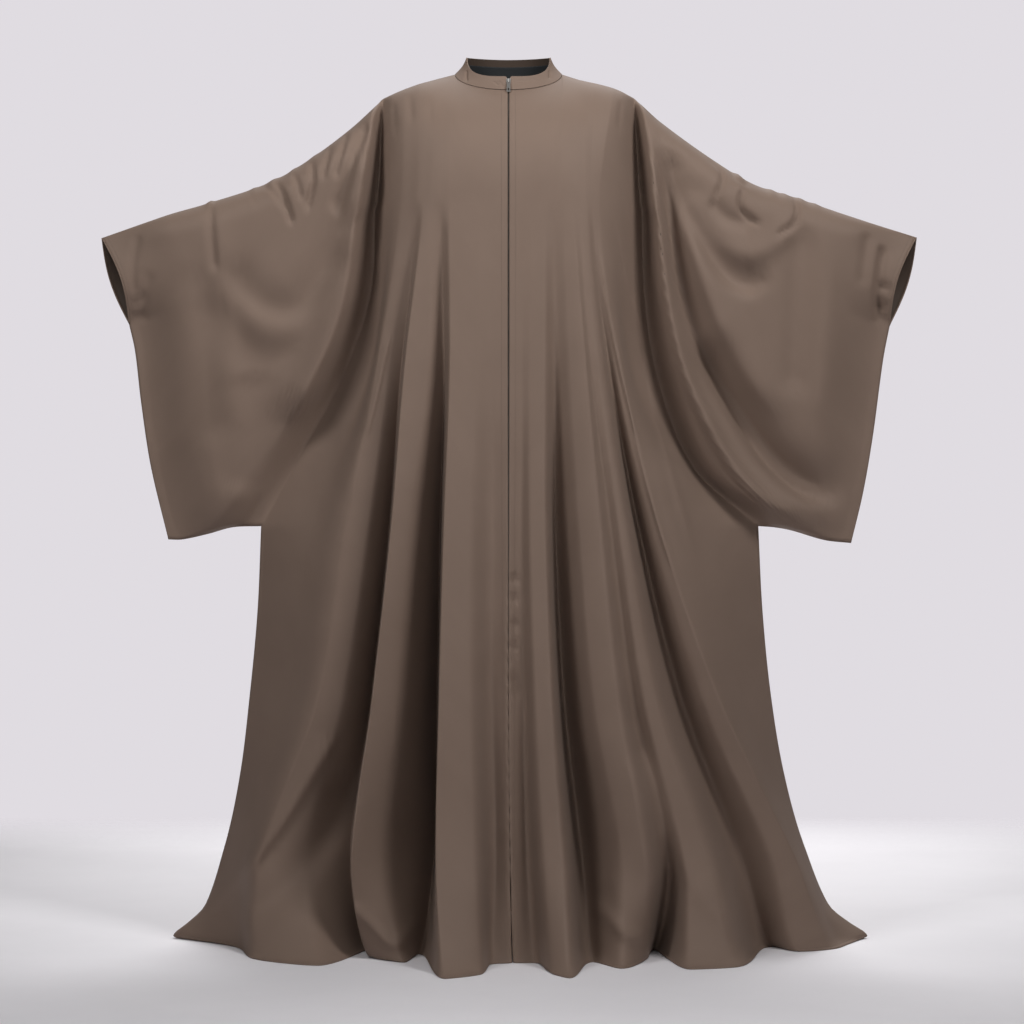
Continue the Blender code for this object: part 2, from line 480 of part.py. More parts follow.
def half_panel(side, face, folds, steps):
    """The body and sleeve grids of one half of a panel, in the garment's own coordinates."""
    body, corner_column = body_block(side, face, folds, steps)
    underarm = YOKE_ROWS + BODICE_ROWS
    sleeve, sewn_edge = sleeve_block(side, face, body[: underarm + 1, -1])
    body_seam = np.zeros(body.shape[:2], bool)
    body_seam[0, corner_column:] = True
    body_seam[underarm:, -1] = True
    sleeve_seam = np.zeros(sleeve.shape[:2], bool)
    sleeve_seam[[0, -1]] = True
    sleeve_seam[:, -1] = sewn_edge
    leave_seam(body, body_seam)
    leave_seam(sleeve, sleeve_seam)
    if face == "back":
        leave_centre_seam(body)
    sleeve[:, 0] = body[: underarm + 1, -1]
    turn = np.array([1.0 if side == "right" else -1.0, -1.0 if face == "front" else 1.0, 1.0])
    return body * turn - [0.0, 0.0, HELD_HEIGHT], sleeve * turn - [0.0, 0.0, HELD_HEIGHT]


def mesh_of_grids(name, grids, outward):
    """One mesh of several grids, welded where they share points. Its faces point the way of `outward`, which
    is one vector or one for each point of the only grid."""
    points, faces, first = [], [], 0
    for grid in grids:
        rows, columns = grid.shape[:2]
        numbers = first + np.arange(rows * columns).reshape(rows, columns)
        quads = np.stack([numbers[:-1, :-1], numbers[1:, :-1], numbers[1:, 1:], numbers[:-1, 1:]], axis=-1)
        faces_out = (vertex_normals(grid) * outward).sum() > 0
        faces.append(quads.reshape(-1, 4) if faces_out else quads.reshape(-1, 4)[:, ::-1])
        points.append(grid.reshape(-1, 3))
        first += rows * columns
    points, faces = np.concatenate(points), np.concatenate(faces)
    welded = np.round(points / WELD)
    _, kept, number = np.unique(welded, axis=0, return_index=True, return_inverse=True)
    mesh = bpy.data.meshes.new(name)
    mesh.from_pydata(points[kept].tolist(), [], number.reshape(-1)[faces].tolist())
    mesh.shade_smooth()
    return mesh


def add_material(name, finish):
    """A Principled BSDF material with a finish's colour, roughness and metallic value."""
    colour, roughness, metallic = finish
    material = bpy.data.materials.new(name)
    material.use_nodes = True
    shader = material.node_tree.nodes["Principled BSDF"]
    shader.inputs["Base Color"].default_value = colour
    shader.inputs["Roughness"].default_value = roughness
    shader.inputs["Metallic"].default_value = metallic
    return material


def add_object(mesh, finish, collection):
    """An object of this mesh's name, with a material of its own."""
    mesh.materials.append(add_material(mesh.name, finish))
    obj = bpy.data.objects.new(mesh.name, mesh)
    collection.objects.link(obj)
    return obj


def add_cloth(name, grids, outward, wall, finish, collection):
    """A piece of cloth: an open surface of grids with its wall inside it."""
    obj = add_object(mesh_of_grids(name, grids, outward), finish, collection)
    solid = obj.modifiers.new("wall", "SOLIDIFY")
    solid.thickness = wall
    solid.offset = -1.0
    return obj


def make_panels(collection):
    """The two fronts and the two halves of the back, each cut in one with its half of a sleeve. Returns the
    fronts' body grids."""
    fronts = {}
    for side, folds in (("left", LEFT_FRONT), ("right", RIGHT_FRONT)):
        body, sleeve = half_panel(side, "front", folds, FRONT_STEPS)
        fronts[side] = body
        add_cloth(f"front_{side}", [body, sleeve], [0, -1, 0], CLOTH, CREPE, collection)
    for side, folds in (("left", LEFT_BACK), ("right", RIGHT_BACK)):
        grids = half_panel(side, "back", folds, BACK_STEPS)
        add_cloth(f"back_{side}", grids, [0, 1, 0], CLOTH, CREPE, collection)
    return fronts


def neck_ring(angle, share):
    """Points of the collar's outer face: angle is taken from the centre front, and share goes from the neck
    seam to the top edge. Both edges are half-ellipses that lie lower in front than at the sides."""
    angle, share = np.broadcast_arrays(angle, share)
    cosine, sine = np.cos(angle), np.sin(angle)
    in_front = cosine > 0
    to_side = 1.0 - np.abs(cosine)
    rings = []
    neck_heights = (NECK_FRONT_HEIGHT, NECK_SIDE_HEIGHT, NECK_BACK_HEIGHT)
    top_heights = (COLLAR_FRONT_HEIGHT, COLLAR_SIDE_HEIGHT, COLLAR_BACK_HEIGHT)
    for half_width, front, back, heights, lift in (
        (NECK_HALF_WIDTH, NECK_FRONT, NECK_BACK, neck_heights, COLLAR_LIFT),
        (COLLAR_HALF_WIDTH, COLLAR_FRONT, COLLAR_BACK, top_heights, 0.0),
    ):
        middle = np.where(in_front, heights[0], heights[2])
        height = middle + (heights[1] - middle) * to_side + lift - HELD_HEIGHT
        depth = np.where(in_front, front, back) * cosine
        rings.append(np.stack([half_width * sine, -depth, height], axis=-1))
    foot, top = rings
    bulge = COLLAR_BULGE * np.sin(np.pi * share) * to_side
    outward = np.stack([sine, -cosine, np.zeros_like(sine)], axis=-1)
    return foot + (top - foot) * share[..., None] + bulge[..., None] * outward


def radial(points):
    """For each point, the level direction away from the neck's axis."""
    return points * [1.0, 1.0, 0.0]


def collar_grid(middle):
    """The collar's outer face, from its end at the zip on one side round the back to the other, as columns.
    Its upper front corners are rounded off, and its first and last columns are the zip tapes' seats."""
    end = math.asin(ZIP_HALF_WIDTH / NECK_HALF_WIDTH)
    seat = np.linspace(end, COLLAR_SEAT_ANGLE, TAPE_COLUMNS)
    angle = np.concatenate([seat, middle, 2 * math.pi - seat[::-1]])[None]
    from_end = np.minimum(angle - end, 2 * math.pi - end - angle) * NECK_HALF_WIDTH
    inside = np.clip(COLLAR_CORNER - from_end, 0.0, COLLAR_CORNER)
    cut = COLLAR_CORNER - np.sqrt(COLLAR_CORNER**2 - inside**2)
    highest = 1.0 - cut / (COLLAR_FRONT_HEIGHT - NECK_FRONT_HEIGHT)
    return neck_ring(angle, np.linspace(0.0, 1.0, COLLAR_ROWS + 1)[:, None] * highest)


def make_collar(collection):
    """The stand collar and the dark facing inside it, which stops short of the top edge. Returns the collar's
    grid."""
    angle = np.linspace(COLLAR_SEAT_ANGLE, 2 * math.pi - COLLAR_SEAT_ANGLE, COLLAR_COLUMNS)[1:-1]
    collar = collar_grid(angle)
    add_cloth("collar", [collar], radial(collar), COLLAR_WALL, CREPE, collection)
    height = np.linalg.norm(neck_ring(angle, 1.0) - neck_ring(angle, 0.0), axis=-1)
    rise = np.linspace(0.0, 1.0, COLLAR_ROWS + 1)[:, None]
    share = FACING_FOOT / height + (1.0 - (FACING_DROP + FACING_FOOT) / height) * rise
    behind = neck_ring(angle, share)
    normals = vertex_normals(behind)
    normals *= np.sign((normals * radial(behind)).sum(axis=-1, keepdims=True))
    facing = behind - normals * (COLLAR_WALL + FACING_CLEARANCE)
    add_cloth("collar_facing", [facing], radial(facing), FACING_WALL, DARK_FACING, collection)
    return collar


def tape_grid(side, front, collar):
    """The zip tape of one side: points of the collar's end and of the front's edge, moved in behind the
    cloth, and a first column that nearly meets the other tape and parts round the slider's post."""
    across = 1.0 if side == "right" else -1.0
    seat = collar[::-1] if side == "right" else collar[::-1, ::-1]
    rows = int((front[:, 0, 2] > ZIP_FOOT_HEIGHT - HELD_HEIGHT).sum()) + 1
    chain = np.concatenate([seat[:, :TAPE_COLUMNS], front[1:rows, :TAPE_COLUMNS]])
    setback = np.where(np.arange(len(chain)) <= len(seat), COLLAR_WALL, CLOTH) + SEAM_GAP
    normals = vertex_normals(chain)
    normals *= -np.sign(normals[..., 1:2])
    moved = chain - normals * setback[:, None, None]
    at_post = np.abs(moved[:, :1, 2:] + HELD_HEIGHT - SLIDER_HEIGHT) < SLIDER_LENGTH
    near, far = moved[:, :1], moved[:, 1:2]
    edge = across * np.where(at_post, POST_CLEARANCE, TAPE_EDGE)
    middle = near + (far - near) * (edge - near[..., :1]) / (far - near)[..., :1]
    return np.concatenate([middle, moved[:, 1:]], axis=1)


def rounded_outline(corners, radius):
    """A closed outline through corners (across, up), each rounded off by a parabola that starts `radius`
    from it."""
    corners = [Vector(corner) for corner in corners]
    points = []
    for before, corner, after in zip(corners[-1:] + corners[:-1], corners, corners[1:] + corners[:1]):
        start = corner + (before - corner).normalized() * radius
        end = corner + (after - corner).normalized() * radius
        for step in range(CORNER_STEPS + 1):
            t = step / CORNER_STEPS
            points.append(start * (1 - t) ** 2 + corner * 2 * t * (1 - t) + end * t**2)
    return points


def plate(name, points, depth_from, depth_to, upright="XZ"):
    """A flat plate: an outline in the X-Z plane carried along Y, or one in the Y-Z plane carried along X."""
    def place(point, depth):
        return (point.x, depth, point.y) if upright == "XZ" else (depth, point.x, point.y)

    count = len(points)
    vertices = [place(point, depth) for depth in (depth_from, depth_to) for point in points]
    sides = [(i, (i + 1) % count, count + (i + 1) % count, count + i) for i in range(count)]
    mesh = bpy.data.meshes.new(name)
    mesh.from_pydata(vertices, [], [tuple(range(count)), tuple(range(2 * count - 1, count - 1, -1))] + sides)
    made = bmesh.new()
    made.from_mesh(mesh)
    bmesh.ops.recalc_face_normals(made, faces=made.faces)
    made.to_mesh(mesh)
    made.free()
    return mesh


def hide_helper(name, mesh, helpers):
    """An object that only cuts or joins another."""
    obj = bpy.data.objects.new(name, mesh)
    helpers.objects.link(obj)
    obj.hide_render = True
    obj.display_type = "WIRE"
    return obj


def join_or_cut(obj, helper, operation):
    """Join the helper to the object, or cut it out, exactly."""
    boolean = obj.modifiers.new(helper.name, "BOOLEAN")
    boolean.operation = operation
    boolean.solver = "EXACT"
    boolean.object = helper


def make_slider(collection, helpers, frame):
    """The zip's slider: a front plate over the cloth's edges, a post between the tapes, a back plate behind
    them, and a bridge that the pull hangs from."""
    half_length = SLIDER_LENGTH / 2
    top, low = SLIDER_TOP_WIDTH / 2, SLIDER_FOOT_WIDTH / 2
    outline_points = rounded_outline(
        [(-top, half_length), (-low, -half_length), (low, -half_length), (top, half_length)], SLIDER_CORNER
    )
    front_face = -SEAM_GAP - SLIDER_PLATE
    behind_tape = COLLAR_WALL + SEAM_GAP + TAPE_WALL + SEAM_GAP
    slider = add_object(plate("zip_slider", outline_points, front_face, -SEAM_GAP), ZIP_METAL, collection)
    back_plate = plate("back plate", outline_points, behind_tape, behind_tape + SLIDER_PLATE)
    post_half = SLIDER_POST_WIDTH / 2
    post_top = half_length - SLIDER_CORNER
    post_foot = post_top - SLIDER_POST_LENGTH
    post_points = rounded_outline(
        [(-post_half, post_top), (-post_half, post_foot), (post_half, post_foot), (post_half, post_top)],
        post_half / 2,
    )
    post = plate("post", post_points, front_face + SLIDER_PLATE / 2, behind_tape + SLIDER_PLATE / 2)
    arch = []
    for inward, turn in ((0.0, 1), (BRIDGE_BAR, -1)):
        height, length = BRIDGE_HEIGHT - inward, BRIDGE_HALF_LENGTH - inward
        half_turn = [math.pi * step / BRIDGE_STEPS for step in range(BRIDGE_STEPS + 1)][::turn]
        ends = [Vector((front_face - height * math.sin(a), length * math.cos(a))) for a in half_turn]
        sunk = Vector((SLIDER_PLATE / 2, 0.0))
        arch += [ends[0] + sunk] + ends + [ends[-1] + sunk]
    bridge = plate("bridge", arch, -BRIDGE_WIDTH / 2, BRIDGE_WIDTH / 2, "YZ")
    slider.matrix_world = frame
    for mesh in (back_plate, post, bridge):
        helper = hide_helper(mesh.name, mesh, helpers)
        helper.matrix_world = frame
        join_or_cut(slider, helper, "UNION")
    return slider


def make_pull(collection, helpers, pivot):
    """The zip's pull tab, which hangs from the bridge by the bar above its eye and turns about that bar."""
    bar, head, foot = PULL_BAR / 2, PULL_HEAD_WIDTH / 2, PULL_FOOT_WIDTH / 2
    tip = bar - PULL_LENGTH
    tab_points = rounded_outline([(-head, bar), (-foot, tip), (foot, tip), (head, bar)], PULL_CORNER)
    pull = add_object(plate("zip_pull", tab_points, -bar, bar), ZIP_METAL, collection)
    eye = PULL_EYE_WIDTH / 2
    eye_foot = -bar - PULL_EYE_LENGTH
    eye_points = rounded_outline(
        [(-eye, -bar), (-eye, eye_foot), (eye, eye_foot), (eye, -bar)], PULL_EYE_CORNER
    )
    slot = PULL_SLOT_WIDTH / 2
    slot_top, slot_foot = tip + PULL_SLOT_TOP, tip + PULL_SLOT_FOOT
    slot_points = rounded_outline(
        [(-slot, slot_top), (-slot, slot_foot), (slot, slot_foot), (slot, slot_top)], PULL_SLOT_CORNER
    )
    placed = Matrix.Translation(pivot) @ Matrix.Rotation(-PULL_REST_TILT, 4, "X")
    pull.matrix_world = placed
    for name, points in (("eye", eye_points), ("grip slot", slot_points)):
        helper = hide_helper(name, plate(name, points, -PULL_BAR, PULL_BAR), helpers)
        helper.matrix_world = placed
        join_or_cut(pull, helper, "DIFFERENCE")
    return pull


def make_zip(collection, helpers, fronts, collar):
    """The zip: two tapes behind the front edges, the slider at the top of the collar and its pull."""
    for side in ("left", "right"):
        grid = tape_grid(side, fronts[side], collar)
        add_cloth(f"zip_tape_{side}", [grid], [0, -1, 0], TAPE_WALL, ZIP_TAPE, collection)
    rise = COLLAR_FRONT_HEIGHT - NECK_FRONT_HEIGHT
    lean = math.atan2(NECK_FRONT - COLLAR_FRONT, rise)
    share = (SLIDER_HEIGHT - NECK_FRONT_HEIGHT) / rise
    seat = Vector((0.0, -NECK_FRONT + (NECK_FRONT - COLLAR_FRONT) * share, SLIDER_HEIGHT - HELD_HEIGHT))
    frame = Matrix.Translation(seat) @ Matrix.Rotation(-lean, 4, "X")
    make_slider(collection, helpers, frame)
    pivot = frame @ Vector((0.0, -SEAM_GAP - SLIDER_PLATE - PIVOT_STAND_OFF, 0.0))
    make_pull(collection, helpers, pivot)


def main():
    clear_scene()
    collection = bpy.data.collections.new("abaya")
    helpers = bpy.data.collections.new("cutters")
    for group in (collection, helpers):
        bpy.context.scene.collection.children.link(group)
    fronts = make_panels(collection)
    collar = make_collar(collection)
    make_zip(collection, helpers, fronts, collar)


main()
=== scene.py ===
# %% [markdown]
# A wide abaya, filled out as if worn, with its sleeve bags held out to the sides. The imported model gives
# its sizes and its place: two fronts, two backs, a stand collar with a dark facing, and a zip. This lesson
# dresses it. Every panel of cloth is worked out again from the same tables of folds as the solids, on a
# much finer grid and with the small creases that a solid can't carry, and then gets its finish.

# %% Load the frame
import math
from collections import namedtuple

import bmesh
import bpy
import numpy as np
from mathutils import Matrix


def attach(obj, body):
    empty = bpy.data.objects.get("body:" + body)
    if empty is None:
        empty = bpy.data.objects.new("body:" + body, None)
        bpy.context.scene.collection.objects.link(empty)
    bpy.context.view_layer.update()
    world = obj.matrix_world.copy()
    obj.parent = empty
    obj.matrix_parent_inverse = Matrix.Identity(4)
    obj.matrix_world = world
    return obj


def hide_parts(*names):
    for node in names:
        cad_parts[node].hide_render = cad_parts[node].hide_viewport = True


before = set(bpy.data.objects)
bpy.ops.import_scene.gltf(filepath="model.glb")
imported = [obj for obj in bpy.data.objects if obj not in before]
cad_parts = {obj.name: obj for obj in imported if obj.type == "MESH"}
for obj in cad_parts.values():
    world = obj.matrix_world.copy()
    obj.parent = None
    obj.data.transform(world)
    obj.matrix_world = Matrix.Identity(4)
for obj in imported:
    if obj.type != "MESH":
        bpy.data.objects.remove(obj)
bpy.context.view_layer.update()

# %% [markdown]
# The photo was taken from straight in front, with the lens about level with the thighs. A long lens, four
# and a half metres away, gives the same sizes from collar to hem. The picture's middle is a few pixels off
# the zip, which a tiny shift repeats.

# %% Camera
CM = 0.01
MM = 0.001
HELD_HEIGHT = 1.424
CAMERA_HEIGHT = 0.70
CAMERA_DISTANCE = 4.5
LENS = 95.9
SENSOR = 36.0
PICTURE = 1024
SHIFT_RIGHT, SHIFT_UP = 3.5, 2.0


def linked(name, data):
    """An object of this data, linked into the scene."""
    obj = bpy.data.objects.new(name, data)
    bpy.context.scene.collection.objects.link(obj)
    return obj


camera_data = bpy.data.cameras.new("camera")
camera_data.lens, camera_data.sensor_width = LENS, SENSOR
camera_data.shift_x, camera_data.shift_y = SHIFT_RIGHT / PICTURE, SHIFT_UP / PICTURE
camera = linked("camera", camera_data)
camera.location = (0.0, -CAMERA_DISTANCE, CAMERA_HEIGHT - HELD_HEIGHT)
camera.rotation_euler = (math.pi / 2, 0.0, 0.0)
bpy.context.scene.camera = camera
print("camera at", tuple(round(value, 3) for value in camera.location))

# %% [markdown]
# Shader maths reads best as plain expressions. A Socket wraps one output of a node tree. Adding,
# multiplying or subtracting makes the Math nodes, and `Tree.node` makes any other node: its settings come
# first, then the values or links of its sockets.


# %% Sockets and node trees
class Socket:
    """One output of a node tree. Expressions on it add Math nodes."""

    def __init__(self, tree, output):
        self.tree, self.output = tree, output

    def math(self, operation, *others):
        """A Math node of this operation on this socket and the others."""
        return self.tree.node("ShaderNodeMath", {"operation": operation}, [self, *others])

    def __add__(self, other):
        return self.math("ADD", other)

    __radd__ = __add__

    def __mul__(self, other):
        return self.math("MULTIPLY", other)

    __rmul__ = __mul__

    def __sub__(self, other):
        return self.math("SUBTRACT", other)

    def __rsub__(self, other):
        return self.tree.node("ShaderNodeMath", {"operation": "SUBTRACT"}, [other, self])


class Tree:
    """A material's nodes."""

    def __init__(self, name):
        self.material = bpy.data.materials.new(name)
        self.material.use_nodes = True
        self.nodes = self.material.node_tree.nodes
        self.links = self.material.node_tree.links
        self.shader = self.nodes["Principled BSDF"]

    def plug(self, target, value):
        """Give a socket a value or a link."""
        if isinstance(value, Socket):
            self.links.new(value.output, target)
        else:
            target.default_value = value

    def node(self, kind, settings=(), sockets=(), output=0):
        """A node of this kind. Settings are set first. Sockets is a list, in order, or a dictionary by
        name."""
        made = self.nodes.new(kind)
        for name, value in dict(settings).items():
            setattr(made, name, value)
        pairs = sockets.items() if isinstance(sockets, dict) else enumerate(sockets)
        for key, value in pairs:
            self.plug(made.inputs[key], value)
        return Socket(self, made.outputs[output])

    def noise(self, place, scale, detail=2.0, roughness=0.5):
        """Smooth noise, from 0 to 1, over a place vector."""
        sockets = {"Vector": place, "Scale": scale, "Detail": detail, "Roughness": roughness}
        return self.node("ShaderNodeTexNoise", {}, sockets)

    def spread(self, value, low, high):
        """A value between low and high brought to the range 0 to 1."""
        return self.node("ShaderNodeMapRange", {}, {"Value": value, "From Min": low, "From Max": high})

    def blend(self, factor, one, two):
        """The colour one where factor is 0 and the colour two where it is 1."""
        made = self.nodes.new("ShaderNodeMix")
        made.data_type = "RGBA"
        colours = [item for item in made.inputs if item.type == "RGBA"]
        for target, value in zip([made.inputs["Factor"]] + colours, (factor, one, two)):
            self.plug(target, value)
        return Socket(self, next(item for item in made.outputs if item.type == "RGBA"))

    def bump(self, height, distance, strength=1.0):
        """A normal from a height field, in which 1 stands for this distance."""
        sockets = {"Strength": strength, "Distance": distance, "Height": height}
        return self.node("ShaderNodeBump", {}, sockets)

    def finish(self, colour, roughness, normal=None, metallic=0.0, sheen=0.0, specular=0.5):
        """Feed the Principled shader and return the material."""
        self.plug(self.shader.inputs["Base Color"], colour)
        self.plug(self.shader.inputs["Roughness"], roughness)
        self.shader.inputs["Metallic"].default_value = metallic
        self.shader.inputs["Sheen Weight"].default_value = sheen
        self.shader.inputs["Specular IOR Level"].default_value = specular
        if normal is not None:
            self.plug(self.shader.inputs["Normal"], normal)
        return self.material


# %% [markdown]
# The cloth is a plain taupe crepe with a smooth, slightly silky face. Crepe yarns are twisted hard, so the
# surface is a fine pebble rather than a clear weave. From this far away it shows only as softness, with a
# faint unevenness of tone. The patterns follow the cloth: they read the panel's own map, which is laid out
# in metres along it. The inner side is the same crepe in a much darker tone, and this darkness is painted
# shade: it stands for the shade in the cuffs and the collar, where little light reaches.


# %% The crepe
CREPE_LIT = (0.222, 0.158, 0.123, 1.0)
CREPE_DEEP = (0.200, 0.141, 0.109, 1.0)
# The two inside colours are painted shade: a dark copy of the crepe for its shaded inner side.
PAINTED_SHADE_INSIDE_LIGHT = (0.070, 0.048, 0.036, 1.0)
PAINTED_SHADE_INSIDE_DARK = (0.058, 0.040, 0.030, 1.0)
CLOUDS_PER_METRE = 9.0
PEBBLES_PER_METRE = 620.0
RIB_SCALE = 210.0
PEBBLE_HEIGHT = 0.12 * MM
CLOUD_SHARE, GRAIN_SHARE = 0.7, 0.3
PEBBLE_SHARE, RIB_SHARE = 0.75, 0.25
TONE_RANGE = (0.3, 0.7)
CREPE_ROUGHNESS = 0.60
CREPE_SHEEN, CREPE_SPECULAR = 0.03, 0.18


def crepe(name, lit, deep):
    """Crepe: tone = two scales of cloud noise, and height = fine pebble + weave ribs, both over the panel's
    map."""
    tree = Tree(name)
    place = tree.node("ShaderNodeUVMap", {"uv_map": "cloth"})
    cloud = tree.noise(place, CLOUDS_PER_METRE, 3.0)
    grain = tree.noise(place, PEBBLES_PER_METRE, 2.0, 0.6)
    tone = tree.spread(cloud * CLOUD_SHARE + grain * GRAIN_SHARE, *TONE_RANGE)
    bands = {"Vector": place, "Scale": RIB_SCALE, "Distortion": 1.5, "Detail": 1.0}
    ribs = tree.node("ShaderNodeTexWave", {"bands_direction": "X"}, bands)
    height = grain * PEBBLE_SHARE + ribs * RIB_SHARE
    normal = tree.bump(height, PEBBLE_HEIGHT, 0.6)
    roughness = CREPE_ROUGHNESS + cloud * 0.08
    colour = tree.blend(tone, deep, lit)
    return tree.finish(colour, roughness, normal, sheen=CREPE_SHEEN, specular=CREPE_SPECULAR)


cloth_finish = crepe("taupe crepe", CREPE_LIT, CREPE_DEEP)
# The inner side's crepe is painted shade: the cloth's colour darkened to stand for the shade inside.
inside_painted_shade = crepe("crepe inside, painted shade", PAINTED_SHADE_INSIDE_LIGHT, PAINTED_SHADE_INSIDE_DARK)
print("made", cloth_finish.name, "and", inside_painted_shade.name)

# %% [markdown]
# The shape of a panel starts with smooth curves. `through` passes a curve through the values of a table,
# and `hermite` joins two of them with given slopes. Both work on whole rows of numbers at once.


# %% Curves
TINY = 1e-12


def norms(vectors):
    """The length of each vector."""
    return np.linalg.norm(vectors, axis=-1)


def unit(vectors):
    """Each vector brought to a length of one."""
    return vectors / np.maximum(np.linalg.norm(vectors, axis=-1, keepdims=True), TINY)


def running(steps):
    """How far along each point lies, from 0, when these are the steps between the points."""
    return np.concatenate([[0.0], np.cumsum(steps)])


def smooth_step(t):
    """3t² - 2t³ between 0 and 1, and flat outside."""
    t = np.clip(t, 0.0, 1.0)
    return t * t * (3.0 - 2.0 * t)


def hermite(start, end, start_slope, end_slope, t):
    """The cubic from start to end with these slopes, at t from 0 to 1."""
    return (
        start * (2 * t**3 - 3 * t**2 + 1)
        + start_slope * (t**3 - 2 * t**2 + t)
        + end * (3 * t**2 - 2 * t**3)
        + end_slope * (t**3 - t**2)
    )


def through(knots, values, at):
    """A smooth curve through values at rising knots, read at the places `at`: a cubic in each gap, whose
    slope at a knot is that of the line between the knots on either side."""
    knots, values, at = (np.asarray(item, float) for item in (knots, values, at))
    slopes = np.empty_like(values)
    slopes[1:-1] = (values[2:] - values[:-2]) / (knots[2:] - knots[:-2])
    slopes[0] = (values[1] - values[0]) / (knots[1] - knots[0])
    slopes[-1] = (values[-1] - values[-2]) / (knots[-1] - knots[-2])
    result = np.zeros(np.broadcast(at, values[0]).shape)
    for k in range(len(knots) - 1):
        span = knots[k + 1] - knots[k]
        t = (at - knots[k]) / span
        piece = hermite(values[k], values[k + 1], slopes[k] * span, slopes[k + 1] * span, t)
        inside = (t >= 0) & ((t < 1) | (k == len(knots) - 2)) if k else t < 1
        result = np.where(inside, piece, result)
    return result


def outline(points, at):
    """The second coordinate, in metres, of a table of centimetre points where the first one is `at`
    metres."""
    table = np.array(sorted(tuple(point) for point in points)) * CM
    return through(table[:, 0], table[:, 1], np.clip(at, table[0, 0], table[-1, 0]))


def overarm_height(side, at):
    """Height of the top of the arm `at` metres out: its outline, with a small ripple over each tuck."""
    height = outline(OVERARM[side], at)
    for out, width, rise in ARM_RIPPLES[side]:
        height = height + rise * CM * np.exp(-(((at - out * CM) / (width * CM)) ** 2))
    return height


def along(points, fractions):
    """Points in metres at these fractions of the length of a line through a table of centimetre points."""
    table = np.array(points) * CM
    length = running(norms(np.diff(table, axis=0)))
    places = np.asarray(fractions) * length[-1]
    return np.stack([through(length, table[:, axis], places) for axis in (0, 1)], axis=-1)


# %% [markdown]
# Sizes of the garment. They are those of the solids, and heights are counted from the floor under the hem.
# The fold tables have a column for each of the six levels. The cloth between the top level and the
# shoulders is the yoke. A crisp fold is soft at the top level and sharpens over `SHARPENING` below it. It
# softens again over `SPREADING` above the floor, where the cloth lands and spreads.

# %% Sizes
CLOTH = 1.2 * MM
SEAM_GAP = 0.3 * MM
NECK_HALF_WIDTH = 8.8 * CM
NECK_FRONT = 6.75 * CM
NECK_BACK = 6.2 * CM
NECK_FRONT_HEIGHT = 138.9 * CM
NECK_SIDE_HEIGHT = 142.5 * CM
NECK_BACK_HEIGHT = 141.9 * CM
FOLD_LEVELS = np.array([120, 93, 68, 40, 15, 0]) * CM
HIP_LEVEL = 2
LANDING = 15 * CM
HEM_REST = 1.7 * MM
YOKE_POWER = 2.87
YOKE_FADE = 4
YOKE_OWN = 20
YOKE_BLUR = 2 * CM
ROUNDING = {"front": (7 * CM, 15 * CM), "back": (-2 * CM, -1 * CM)}
YOKE_TOP = {"front": ((0.0, 143.1), (4.5, 142.95)), "back": ((0.0, 145.3), (4.5, 144.6))}
SHARPENING = 70 * CM
SPREADING = 22 * CM
SHORTEST = 0.01 * MM

# %% [markdown]
# The folds of the body, in centimetres. Each row is one fold line, from the centre to the side: how far out
# it starts at the neck or shoulder, how far out it lies at each of the six levels, and how far it stands
# before the side seams there, or behind them at the back. `crisp` says how sharp the cloth turns at that
# line, from 0 for a soft roll to 1 for a pressed edge. `HALVES` adds how many columns of the mesh lie
# between each line and the next.

# %% Fold tables
Fold = namedtuple("Fold", "name top out deep crisp")

LEFT_FRONT = (
    ("centre edge", 0.17, (0.17, 0.17, 0.14, 0.08, -0.18, -0.58), (15, 15.8, 17.2, 20, 22.5, 25), 0),
    ("placket hollow", 3, (2.3, 2.4, 2.5, 2.5, 2, 2.6), (15, 15.6, 16.4, 18.5, 21, 26.2), 0.2),
    ("lap pleat, in", 5.6, (4.9, 5.5, 6.3, 6.2, 5.3, 3.9), (15, 16.3, 19, 23.2, 27.5, 35), 0),
    ("lap pleat, out", 8.8, (9.3, 9.3, 10.2, 10.9, 11.2, 9.6), (14.65, 16.6, 19.6, 23.8, 28.8, 39.4), 0.5),
    ("lap valley", 9.8, (10.9, 10.4, 11.1, 11.6, 12, 14.2), (14.3, 12.4, 8, 6, 7.6, 16.5), 0.4),
    ("thigh pleat, in", 11.2, (12.3, 13, 15.6, 17.6, 19.6, 16.4), (13.85, 14.5, 15.8, 17.6, 19, 24.4), 0),
    ("thigh pleat, out", 12.8, (13.5, 16.6, 18.6, 21.6, 24.6, 22), (13.3, 14.8, 17.4, 20.6, 23.2, 19), 0.5),
    ("hip valley", 13.9, (14.6, 17.4, 19.4, 22.3, 25.6, 22.6), (12.7, 10.2, 7.6, 6.4, 7.2, 12.6), 0.4),
    ("side pleat, in", 15.4, (15.8, 19.4, 22.8, 27, 33, 29.6), (11.8, 11, 11.8, 12.6, 12.6, 27.4), 0),
    ("side pleat, out", 17.2, (17.6, 21.4, 26, 30.6, 39.8, 40.4), (10.4, 10.6, 12, 12.8, 12.6, 20.6), 0.4),
    ("side plane", 19.2, (19.5, 22.8, 32, 36.6, 43.4, 43.6), (7.6, 3.4, 6.6, 6.4, 6.6, 10.4), 0),
    ("side", 20.6, (21.7, 27.1, 40.8, 42.7, 46.5, 55.4), (2, 1.2, 0, 0, 0, 0), 0),
)
